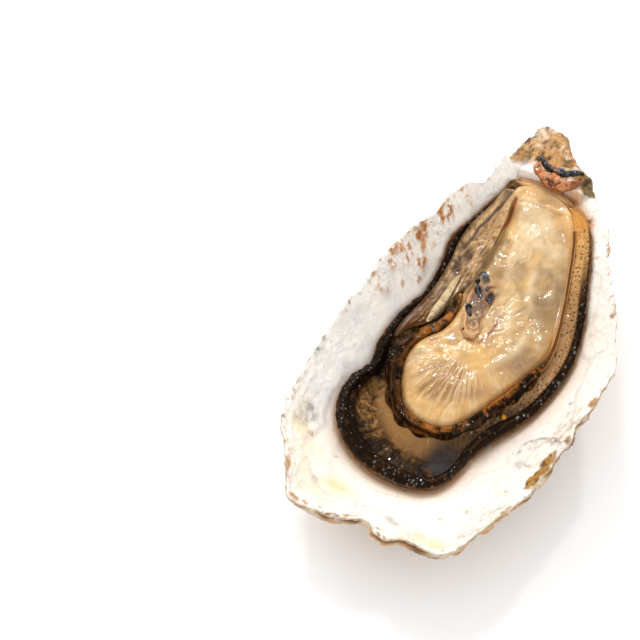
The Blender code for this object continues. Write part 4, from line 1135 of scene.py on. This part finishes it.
def make_body():
    insets = np.concatenate([[0, 0.1, 0.22, 0.36, 0.52, 0.7], np.arange(0.9, 12, 0.24)])
    _, plans = laid_plans(BODY_OUTLINE, BODY_POINTS, insets, (0.88, 0.76, 0.64, 0.52, 0.4, 0.28, 0.16, 0.06))
    x, y, inside, _ = depth_in(BODY_OUTLINE, plans)
    out = np.hypot(x - FAN_CENTRE[0], y - FAN_CENTRE[1])
    turn = np.arctan2(y - FAN_CENTRE[1], x - FAN_CENTRE[0])
    cos, sin = np.cos(turn), np.sin(turn)
    warp = 1.5 * fractal(x, y, 4, 5.0, 2, 91)
    fan = fractal(14 * cos, 14 * sin, 0.08 * out, 0.42, 2, 5)
    rays = fractal(9 * cos, 9 * sin, 0.25 * out + warp, 2.0, 3, 95) * ramp(out, 4.0, 9.0)
    streaks = fractal(20 * cos, 20 * sin, 0.3 * out + 2 * warp, 1.1, 3, 99) * ramp(out, 7.0, 13.0)
    striae = patch(x, y, STRIA_FIELD, 1.4)
    folds = sum(strength * blot(x, y, *place) for *place, strength in FOLDS)
    z = body_top(x, y) - (EDGE + GAP - 0.2) * (1 - ramp(inside, 0.0, 1.0))
    z = np.maximum(z, mantle_fine(x, y) + 0.2)
    z = np.maximum(z, ramp(y, 28.0, 32.0) * (hinge_collar(x, y) + 0.3))
    lumps = 0.20 * fractal(x, y, 3, 4.5, 3, 7) + 0.09 * fractal(x, y, 1, 1.5, 2, 9)
    lumps = lumps + 0.32 * folds + 0.12 * rays + 0.25 * patch(x, y, MILKY_LEAF_AND_SHEEN, 1.2) + 0.07 * streaks
    z += ramp(inside, 0.5, 3.0) * lumps + 0.06 * fan * striae
    tint = body_tint(x, y, inside, fan, rays, streaks, striae, folds, fractal(x + warp, y, 0, 6.0, 4, 13))
    wet = np.maximum(droplets(1.5 * x + 0.4 * y, 0.7 * y, 1.3, 0.14, 81), 0.9 * droplets(x, y, 1.0, 0.08, 83))
    wet = np.maximum(wet * ramp(inside, 0.8, 1.6), 0.10)
    skin = flesh("body_wet", (1.0, 0.05), (0.12, 0.24), ((0.8, 0.05), (1.8, 0.12, 3.0, 20)), 0.35, 0.3)
    laid_piece("body", plans, z, lambda a, b: mantle_top(a, b) + 0.1, tint, skin, wet)


def body_tint(x, y, inside, fan, rays, streaks, striae, folds, cloud):
    """Cream clouds, with milky folds, glassy grey places and brown lines; painted shade along the lower edge
    and in a crease, and a painted reflection on the milky fold.
    """
    leaf, wide_leaf = patch(x, y, MILKY_LEAF_AND_SHEEN, 1.3), patch(x, y, MILKY_LEAF_AND_SHEEN, 2.0)
    glassy = 0.7 + 0.7 * fractal(x, y, 2, 2.6, 3, 19)
    return paint(
        CREAM,
        (CREAM_YELLOW, ramp(cloud, -0.4, 0.5)),
        (CREAM_YELLOW, 0.8 * ramp(-y, 8, 20)),
        (CREAM_MILK, 0.40 * ramp(rays, 0.1, 0.7)),
        (CREAM_MILK, 0.45 * ramp(streaks, 0.15, 0.6)),
        (CREAM_GREY, 0.30 * ramp(-streaks, 0.2, 0.7)),
        (CREAM_GREY, 0.55 * ramp(-rays, 0.10, 0.7) * ramp(x + 0.5 * y, -4, 4)),
        (CREAM_GREY, 0.55 * ramp(fractal(x, y, 6, 3.4, 3, 97), 0.1, 0.7) * ramp(y, -20, -12)),
        (CREAM_GREY, 0.55 * ramp(x - 0.25 * y, 5, 11) * ramp(y, -16, -6) * (1 - 0.5 * folds)),
        (CREAM_TAN, 0.75 * patch(x, y, BODY_TAN, 1.4)),
        (BODY_RIM_TAN_AND_SHADE, 0.35 * ramp(wide_leaf, 0.05, 0.5) * (1 - leaf) * ramp(x, 2, 6)),
        # the milky fold: partly its tone, partly a painted reflection
        (CREAM_MILK, 0.80 * leaf * (0.80 + 0.5 * cloud)),
        (CREAM_MILK, 0.7 * folds),
        (CREAM_GREY, 0.8 * patch(x, y, GREY_GLASS, 1.2) * glassy),
        # grey in the crease: painted shade; the grey over the striae is their own tone
        (CREAM_GREY, 0.55 * blot(x, y, *CREASE_SHADE) + 0.3 * striae),
        (STRIA, 0.80 * striae * ramp(fan, 0.05, 0.35)),
        (CREAM_MILK, 0.45 * striae * ramp(-fan, 0.10, 0.45)),
        *((CREAM_MAUVE, strength * blot(x, y, *place)) for *place, strength in BODY_MAUVE),
        # darker along the body's lower edge: painted shade
        (BODY_RIM_TAN_AND_SHADE, 0.55 * (1 - ramp(inside, 0.2, 1.6)) * (0.8 + 0.4 * cloud) * (1 - ramp(y, 2, 12))),
        (COLLAR_TAN, (1 - ramp(inside, 0.6, 3.6)) * ramp(y, 26, 32)),
        (LINE_BROWN, stroke(x, y, SKIN_LINE, 0.7)),
        (LINE_BROWN, stroke(x, y, HINGE_LINE, 0.8)),
    )


# Upper mantle

FRILL_BLACK = rgb(26, 16, 9)
FRILL_BROWN = rgb(124, 74, 32)
FRILL_ORANGE = rgb(166, 102, 42)
THIN_BROWN = rgb(98, 58, 26)
FRILL_FINE = 2400
FRILL_POINTS = 900
RIBBON_END = (0.285, 0.31)  # where the thin orange ribbon widens into the frill
FRILL_LEAN = 1.4  # how far towards the body the frill's height is taken


def frill_path():
    """The upper mantle's path round the body, with its width and its way along, and the whole way round."""
    curve = evenly(BODY_OUTLINE.curve, FRILL_FINE, True)
    outward = BODY_OUTLINE.outward(curve)
    shares = np.arange(FRILL_FINE) / FRILL_FINE
    width = np.interp(shares, *zip(*FRILL))
    length = BODY_OUTLINE.step * len(BODY_OUTLINE.curve)
    drift = 2 * grain(curve[:, 0], curve[:, 1], 0, 9.0)
    curl = np.sin(math.tau * shares * length / FRILL_CURL[1] + drift)
    ribbon = 1 - ramp(shares, *RIBBON_END)
    calm = np.maximum(0.65 + 0.15 * ramp(shares, 0.64, 0.68), ribbon)
    width = width * (1 + FRILL_CURL[0] * curl * (1 - calm)) * (1 + 0.35 * ribbon)
    chosen = (shares >= FRILL[0][0]) & (shares <= FRILL[-1][0])
    plan = curve[:, :2] + outward * (width / 2 - 0.3)[:, None]
    return np.column_stack([plan, width, shares * length, outward])[chosen], length


def strip_line(points, count):
    """Evenly spaced (x, y, width) along a curve through the points."""
    return evenly(smooth_curve(points, 24, False), int(count * FINE), False)


def ribbon_rows(line, points_across, bed, height, sink):
    """Sections of a strip along a line of (x, y, width): shares across, places, floor and rise."""
    across = np.sin(np.linspace(-math.pi / 2, math.pi / 2, points_across))
    aside = normals(line, False)[:, None]
    place = line[:, None, :2] + aside * (across[None, :, None] * line[:, None, 2:3] / 2)
    x, y = place[..., 0], place[..., 1]
    round_top = np.sqrt(np.clip(1 - 0.98 * across**2, 0, 1))
    crown = EDGE * 0.6 + height * line[:, None, 2] / line[:, 2].max() * round_top
    return across, x, y, bed(x, y) + sink, crown


def ribbon_piece(name, x, y, z, floor, tint, material, wet):
    """A closed strip from its upper side's points, with an underside of a quarter of them."""
    keep = np.linspace(x.shape[1] - 1, 0, max(4, x.shape[1] // 4)).astype(int)
    over = np.stack([x, y, z], axis=-1)
    under = np.stack([x[:, keep], y[:, keep], floor[:, keep]], axis=-1)
    tints = np.concatenate([tint, tint[:, keep]], axis=1)
    rings = np.concatenate([over, under], axis=1)
    wet = {"wet": np.concatenate([wet, 0 * wet[:, keep]], axis=1)}
    closed_piece(name + "_looks", rings, tints, material, name, wet)


def make_mantle_upper():
    path, length = frill_path()
    line = evenly(path, int(FRILL_POINTS * FINE), False)
    across, x, y, floor, crown = ribbon_rows(line, 27, mantle_fine, FRILL_HEIGHT, 0.1)
    lean = FRILL_LEAN * line[:, 4:6][:, None]
    raised = mantle_fine(x - lean[..., 0], y - lean[..., 1])
    from_body, _ = BODY_OUTLINE.near(x, y)
    off_body = np.where(BODY_OUTLINE.holds(x, y), -from_body, from_body)
    along, width = line[:, 3][:, None], line[:, 2][:, None]
    shares = along / length
    ribbon, thin = 1 - ramp(shares, *RIBBON_END), ramp(shares, 0.645, 0.69)
    bottom = ramp(shares, 0.42, 0.46) * (1 - thin)
    base = floor + np.maximum(raised - floor, 0) * (1 - ramp(off_body, 0.55 * width, width))
    ridge = np.cos(math.tau * (off_body / 1.25 - 0.30 + 0.22 * fractal(x, y, 0, 2.6, 2)))
    pleats = np.cos(math.tau * (along / 0.85 + 0.8 * fractal(x, y, 0, 1.6, 2, 4)))
    granules, speckle = bumps(x, y, PAPILLA, 19), fractal(x, y, 0, 0.75, 3, 45)
    z = base + crown * (1 + 0.20 * ramp(width, 1.4, 2.6) * (1 - ribbon) * (ridge - 0.4)) + 0.9 * ribbon
    rough = (0.12 * granules + 0.24 * speckle) * (1 - 0.6 * ribbon) * (1 - thin)
    z += (rough + 0.05 * pleats * bottom) * (1 - across**2)
    z += 0.25 * fractal(x, y, 0, 1.8, 2, 23) * (1 - thin)
    brown = ramp(fractal(x, y, 0, 2.0, 3, 3) + 0.25 * pleats * bottom, -0.6, 0.4)
    near_body = 1 - ramp(off_body, 0.5, 1.9)
    aside = np.abs(across)
    tint = paint(
        FRILL_BLACK,
        (FRILL_BROWN, (0.5 + 0.4 * bottom) * brown * near_body),
        (FRILL_BROWN, (0.4 + 0.5 * bottom) * ramp(-ridge, 0.1, 1.0) * (1 - near_body) * brown),
        (FRILL_BROWN, 0.4 * ramp(speckle, 0.3, 0.8)),
        (FRILL_ORANGE, 0.85 * ribbon * ramp(fractal(x, y, 0, 1.4, 3, 5), -0.5, 0.4)),
        (FRILL_BLACK, 0.6 * ribbon * ramp(aside, 0.8, 1.0)),
        (FRILL_BLACK, 0.5 * ribbon * ramp(-speckle, 0.2, 0.7)),
        (FRILL_ORANGE, 0.80 * bottom * near_body * brown * ramp(speckle, -0.5, 0.2)),
        (BAND_CREAM, thin * ramp(aside, 0.45, 0.8)),
        (THIN_BROWN, thin * (1 - ramp(aside, 0.3, 0.7))),
    )
    wet = np.maximum(droplets(x, y, 0.8, 0.18, 75), droplets(x, y, 1.3, 0.04, 79)) * (1 - 0.7 * thin)
    skin = flesh("mantle_upper_wet", (0.5, 0.15), (0.10, 0.28), MANTLE_RELIEF, 0.10, 0.14, DARK_GLOSS)
    ribbon_piece("mantle_upper", x, y, z, floor, tint, skin, wet)


# Gills and their pale edge

GILL_OLIVE = rgb(128, 94, 54)
GILL_GREY = rgb(172, 140, 100)
GILL_DARK = rgb(66, 42, 20)
GILL_BROWN = rgb(126, 76, 32)
GILL_CREAM = rgb(206, 168, 118)
PALE_STRIP = rgb(214, 192, 152)
GILL_LEFT = [(-4.5, 31.2), (-8.8, 22.4), (-11.0, 13.0), (-12.4, 5.0), (-15.0, -3.0), (-16.3, -9.2)]
GILLS_POINTS = 520
GILL_EDGE_SLIM = 0.82
GILL_EDGE_RIBS = 24
GILL_LIFT = 1.4  # how much the looks raise the leaf where it meets the body
GILL_FOLDS = [
    [(-3.4, 22.0), (-5.0, 19.0), (-6.2, 15.4), (-6.8, 12.6)], [(-4.6, 20.4), (-7.0, 18.6), (-9.0, 15.0)],
    [(-4.4, 17.0), (-5.4, 14.6), (-5.6, 12.2)],
]
# Hollows in the gills, (x, y, radius, radius across, turn in degrees), sunk and painted dark: painted shade
GILL_HOLLOWS = [(-7.6, 15.4, 0.9, 1.8, 20), (-5.0, 17.0, 0.6, 1.4, 10), (-8.6, 11.8, 0.9, 2.0, 10)]


def gills_fine(x, y):
    """The gills' upper side, raised towards the body."""
    to_body, _ = BODY_OUTLINE.near(x, y)
    lifted = gills_top(x, y) + GILL_LIFT * (1 - ramp(to_body, 0.3, 3.6)) * ramp(y, 0.0, 8.0)
    return np.maximum(lifted, mantle_fine(x, y) + 0.15)


def make_gills():
    insets = np.concatenate([[0, 0.12, 0.26], np.arange(0.42, 2.6, 0.14)])
    edge, plans = laid_plans(GILLS_OUTLINE, GILLS_POINTS, insets, (0.8, 0.6, 0.4, 0.2, 0.05))
    out = GILLS_OUTLINE.outward(edge)
    tuck = 2.0 * ramp(out[:, 0], 0.2, 0.8) * ramp(edge[:, 1], 4.0, 10.0)
    push_out(plans, insets, out, tuck, 2.4)
    x, y, inside, _ = depth_in(GILLS_OUTLINE, plans)
    off_left, _ = near_line(x, y, GILL_LEFT)
    lumps, fine = fractal(x, y, 0, 2.2, 3, 5), fractal(x, y, 0, 0.8, 3, 15)
    pleat = np.cos(math.tau * (off_left / 0.95 + 0.45 * fractal(x, y, 0, 3.0, 3, 2)))
    low = 1 - ramp(y, 6, 14)
    folds = np.clip(sum(stroke(x, y, line, 0.5, 0.35) for line in GILL_FOLDS), 0, 1)
    hollows = np.clip(sum(blot(x, y, *place) for place in GILL_HOLLOWS), 0, 1)
    z = gills_fine(x, y) + ramp(inside, 0.1, 1.0) * (0.24 * lumps + 0.16 * fine)
    z += ramp(inside, 0.2, 0.8) * ((0.03 + 0.07 * low) * pleat + 0.35 * folds - 0.6 * hollows)
    line = (1 - ramp(np.abs(off_left - 1.5 - 0.25 * lumps), 0.15, 0.45)) * ramp(y, 9, 13)
    apart, value = cells(x, y, 0.55, 65)
    dots = (1 - ramp(apart, 0.15, 0.35)) * ramp(value + 0.8 * fractal(x, y, 0, 3.0, 2, 25), 0.2, 0.6)
    tint = paint(
        GILL_OLIVE,
        (GILL_GREY, ramp(lumps, -0.3, 0.5)),
        (GILL_CREAM, 0.85 * ramp(y + 2 * lumps, 18, 25)),
        (GILL_CREAM, 0.75 * ramp(fine, 0.05, 0.5) * ramp(y, 4, 12)),
        (GILL_DARK, 0.6 * ramp(-fine, 0.15, 0.7) * (1 - 0.6 * ramp(y, 20, 26))),
        (GILL_DARK, (0.15 + 0.4 * low) * ramp(-pleat + 0.5 * fine, 0.2, 1.0)),
        (GILL_BROWN, 0.7 * ramp(-y + 1.5 * lumps, -7, 4)),
        (GILL_DARK, 0.4 * ramp(-y + 1.5 * lumps + 2 * fine, -3, 6)),
        (GILL_DARK, 0.85 * line),
        (GILL_CREAM, 0.8 * folds),
        # dark in the hollows: painted shade
        (GILL_DARK, 0.8 * hollows),
        (GILL_DARK, 0.7 * (1 - ramp(inside, 0.1, 0.45)) * (1 - ramp(x - 0.28 * y, -13, -11.5))),
        (GILL_DARK, 0.75 * dots * ramp(y, 2, 8) * (1 - ramp(y, 24, 28))),
    )
    wet = np.maximum(droplets(x, y, 1.0, 0.20, 85), 0.15)
    skin = flesh("gills_wet", (0.5, 0.18), (0.10, 0.28), ((0.5, 0.08), (1.3, 0.14)), 0.2, 0.25)
    laid_piece("gills", plans, z, lambda a, b: mantle_top(a, b) + 0.1, tint, skin, wet)


def make_gill_edge():
    line = strip_line(GILL_EDGE, 240)
    line[:, 2] *= GILL_EDGE_SLIM
    across, x, y, floor, crown = ribbon_rows(line, 25, gills_fine, GILL_EDGE_HEIGHT, 0.0)
    ribs = np.cos(math.tau * np.arange(len(line)) / len(line) * GILL_EDGE_RIBS)[:, None]
    lumps = fractal(x, y, 0, 1.1, 3, 3)
    z = floor + crown * (1 + 0.05 * ribs) + 0.16 * lumps
    tint = paint(
        PALE_STRIP,
        (GILL_GREY, 0.5 * ramp(-lumps, 0.0, 0.6)),
        (GILL_GREY, 0.4 * ramp(y, 5, 10)),
        (GILL_DARK, 0.3 * ramp(-ribs, 0.6, 1.0) * ramp(across, 0.2, 0.9)),
    )
    skin = flesh("gill_edge_wet", (0.5, 0.1), (0.12, 0.3), ((0.6, 0.08),), 0.3, 0.35)
    wet = 0.6 * droplets(x, y, 0.9, 0.15, 87)
    ribbon_piece("gill_edge", x, y, z, floor, tint, skin, wet)


# Cut muscle

MUSCLE = rgb(120, 92, 72)
MUSCLE_SKIN = rgb(204, 166, 122)
# black of the muscle's dark flesh, and painted shade in its torn pits
MUSCLE_BLACK_AND_PIT_SHADE = rgb(24, 15, 12)
MUSCLE_GOLD = rgb(182, 112, 36)
MUSCLE_BLUE = rgb(84, 92, 106)
ADDUCTOR_POINTS = 380
SAUSAGE = [(-4.6, 12.9), (-3.6, 12.5), (-2.5, 11.3), (-1.7, 10.2)]
SKIN_FOLD = [(-4.1, 7.1), (-4.0, 3.4), (-3.0, -0.8), (-2.0, -3.6), (-0.2, -4.6), (1.0, -3.2)]
SKIN_CURL = [(-1.0, -0.6), (0.2, -1.4), (-0.2, -2.8), (-1.4, -2.4)]

# Torn pits, (x, y, radius along, radius across, turn in degrees)
PITS = [
    (-2.4, 7.4, 2.1, 0.9, -62), (0.3, 7.1, 2.4, 1.25, -70), (-3.0, 2.4, 1.9, 0.7, -66),
    (-2.4, -3.3, 0.5, 0.4, 0), (-3.4, 9.6, 0.8, 0.5, -40),
]


def make_adductor():
    insets = np.concatenate([[0, 0.1, 0.22], np.arange(0.34, 2.6, 0.13)])
    edge, plans = laid_plans(ADDUCTOR_OUTLINE, ADDUCTOR_POINTS, insets, (0.85, 0.7, 0.55, 0.4, 0.2, 0.06))
    torn_edge = 0.45 * fractal(edge[:, 0], edge[:, 1], 0, 1.8, 3, 3)
    push_out(plans, insets, ADDUCTOR_OUTLINE.outward(edge), torn_edge, 2.0)
    x, y, inside, _ = depth_in(ADDUCTOR_OUTLINE, plans)
    torn = fractal(x, y, 0, 1.3, 3, 5)
    pit = np.max([blot(x, y, *place) for place in PITS], axis=0)
    pit = np.clip(pit * (1 + 0.6 * torn) + 0.15 * torn, 0, 1)
    deep_pit_shade, rim = ramp(pit, 0.35, 0.6), np.clip(4 * pit * (1 - pit), 0, 1)
    sausage = stroke(x, y, SAUSAGE, 1.8, 0.4)
    fold = np.maximum(stroke(x, y, SKIN_FOLD, 0.8, 0.4), 0.8 * stroke(x, y, SKIN_CURL, 0.4, 0.3))
    z = body_top(x, y) + 0.1 + 1.0 * ramp(inside, 0, 1.0)
    z += ramp(inside, 0.1, 0.8) * (0.22 * torn - 1.0 * pit + 0.30 * rim) + 0.6 * fold + 0.55 * sausage
    tint = paint(
        MUSCLE,
        (MUSCLE_SKIN, 0.5 * ramp(torn, 0.0, 0.7)),
        (MUSCLE_SKIN, 0.8 * ramp(np.abs(y - 3.2), 4.0, 7.0)),
        (MUSCLE_SKIN, 0.7 * (1 - ramp(inside, 0.1, 0.9))),
        (MUSCLE_SKIN, 0.9 * fold),
        (MUSCLE_GOLD, 0.85 * ramp(rim, 0.5, 0.9) * ramp(x, -1.2, 0.2) * ramp(y, 3, 5)),
        (MUSCLE_GOLD, 0.5 * stroke(x, y, SKIN_FOLD, 1.5, 0.3) * (1 - fold)),
        # black in the torn pits: dark flesh with painted shade in the holes
        (MUSCLE_BLACK_AND_PIT_SHADE, 1.2 * deep_pit_shade),
        (paint(MUSCLE_BLACK_AND_PIT_SHADE, (MUSCLE_BLUE, ramp(torn, 0.1, 0.6))), sausage),
    )
    wet = np.maximum(droplets(x, y, 0.7, 0.2, 89), 0.5 * np.maximum(sausage, deep_pit_shade))
    skin = flesh("adductor_wet", (0.6, 0.12), (0.10, 0.24), ((0.5, 0.06), (1.3, 0.12)), 0.2, 0.2)
    laid_piece("adductor", plans, z, lambda a, b: body_top(a, b) + 0.05, tint, skin, wet)


# Hinge

LIGAMENT_ORANGE = rgb(182, 108, 50)
LIGAMENT_BROWN = rgb(118, 66, 32)
LIGAMENT_PINK = rgb(190, 138, 102)
RESILIUM_BLACK = rgb(26, 26, 32)
RESILIUM_BLUE = rgb(88, 92, 106)
RESILIUM_CRACK = [(2.9, 41.8), (4.2, 40.6), (5.0, 39.6)]


def make_ligament():
    line = strip_line(LIGAMENT, 300)
    line[:, 2] *= 1 + 0.36 * fractal(line[:, 0], line[:, 1], 0, 1.4, 3, 7)
    across, x, y, floor, crown = ribbon_rows(line, 31, plate_bed, LIGAMENT_HEIGHT, 0.1)
    lumps, fine = fractal(x, y, 0, 2.0, 3, 3), fractal(x, y, 0, 0.8, 3, 13)
    z = floor + 0.8 * crown + (0.45 * lumps + 0.28 * fine) * (1 - 0.6 * across**2)
    tint = paint(
        LIGAMENT_ORANGE,
        (LIGAMENT_PINK, 0.85 * ramp(lumps, 0.0, 0.6) * (1 - 0.7 * ramp(x, 5.5, 9.0))),
        (LIGAMENT_BROWN, 0.9 * ramp(-lumps - 0.6 * fine, 0.0, 0.6)),
        (RESILIUM_BLACK, 0.8 * ramp(-fine + 0.3 * lumps, 0.45, 0.8)),
        (LIGAMENT_BROWN, 0.7 * ramp(np.abs(across), 0.86, 1.0)),
    )
    horn = flesh("ligament_horn", (0.5, 0.2), (0.2, 0.45), ((0.5, 0.10), (1.2, 0.15)), 0.15, 0.4)
    ribbon_piece("ligament", x, y, z, floor, tint, horn, droplets(x, y, 0.9, 0.2, 91))


def make_resilium():
    line = strip_line(RESILIUM, 280)
    line[:, 2] *= 1 + 0.35 * fractal(line[:, 0], line[:, 1], 0, 1.5, 3, 9)
    _, x, y, floor, crown = ribbon_rows(line, 31, shell_inside, RESILIUM_HEIGHT, 0.1)
    lumps, fine = fractal(x, y, 0, 1.5, 3, 5), fractal(x, y, 0, 0.7, 3, 15)
    z = floor + crown + 0.30 * lumps + 0.12 * fine
    tint = paint(
        RESILIUM_BLACK,
        (RESILIUM_BLUE, 0.9 * ramp(fine + 0.6 * lumps, 0.1, 0.7)),
        (LIGAMENT_BROWN, 0.9 * stroke(x, y, RESILIUM_CRACK, 1.0, 0.4)),
    )
    glossy = flesh("resilium_gloss", (0.5, 0.2), (0.1, 0.25), ((0.5, 0.08),), 0.0, 0.5)
    ribbon_piece("resilium", x, y, z, floor, tint, glossy, droplets(x, y, 0.8, 0.25, 93))


# Camera, floor and light

CAMERA_TURN = 21.0
CAMERA_HEIGHT = 61.0
CAMERA_LENS = 100.0
CAMERA_PLACE = (35.13, -188.27, 357.81)
FLOOR_REACH = 3.0  # in metres
WHITE = (1.0, 1.0, 1.0)
KEY_TINT = (1.0, 0.985, 0.96)
WORLD_STRENGTH = 1.08

# Lights: place in metres, size in metres, power and colour
LIGHTS = {
    "key": ((-0.62, 0.50, 0.72), 0.45, 1.6, KEY_TINT),
    "glint left": ((-0.426, 0.453, 0.785), 0.07, 1.4, WHITE),
    "glint back": ((-0.335, 0.614, 0.715), 0.07, 1.4, WHITE),
    "glint right": ((-0.042, 0.651, 0.761), 0.07, 1.4, WHITE),
}


def add_camera():
    data = bpy.data.cameras.new("camera")
    data.lens = CAMERA_LENS
    data.sensor_width = 36.0
    made = bpy.data.objects.new("camera", data)
    made.location = [(a - b) * MM for a, b in zip(CAMERA_PLACE, (*BOX_CENTRE, 0.0))]
    made.rotation_euler = (math.radians(90 - CAMERA_HEIGHT), 0, math.radians(CAMERA_TURN))
    bpy.context.scene.collection.objects.link(made)
    bpy.context.scene.camera = made


def add_floor():
    mesh = bpy.data.meshes.new("floor")
    corners = [(a * FLOOR_REACH, b * FLOOR_REACH, 0) for a, b in ((-1, -1), (1, -1), (1, 1), (-1, 1))]
    mesh.from_pydata(corners, [], [(0, 1, 2, 3)])
    nodes = Nodes("floor_white")
    nodes.set(Base_Color=(0.97, 0.97, 0.97, 1.0), Roughness=0.9, Specular_IOR_Level=0.1)
    mesh.materials.append(nodes.material)
    made = bpy.data.objects.new("floor", mesh)
    bpy.context.scene.collection.objects.link(made)


def add_light(name, place, size, power, colour):
    """A square soft light that faces the object."""
    data = bpy.data.lights.new(name, "AREA")
    data.size = size
    data.energy = power
    data.color = colour
    made = bpy.data.objects.new(name, data)
    made.location = place
    x, y, z = place
    made.rotation_euler = (math.atan2(math.hypot(x, y), z), 0, math.atan2(y, x) + math.pi / 2)
    bpy.context.scene.collection.objects.link(made)


def add_lights():
    for name, values in LIGHTS.items():
        add_light(name, *values)
    world = bpy.data.worlds.new("studio")
    world.use_nodes = True
    world.node_tree.nodes["Background"].inputs["Color"].default_value = (*WHITE, 1)
    world.node_tree.nodes["Background"].inputs["Strength"].default_value = WORLD_STRENGTH
    bpy.context.scene.world = world
    bpy.context.scene.view_settings.view_transform = "Standard"


make_shell()
make_mantle_lower()
make_body()
make_mantle_upper()
make_gills()
make_gill_edge()
make_adductor()
make_ligament()
make_resilium()
add_camera()
add_floor()
add_lights()
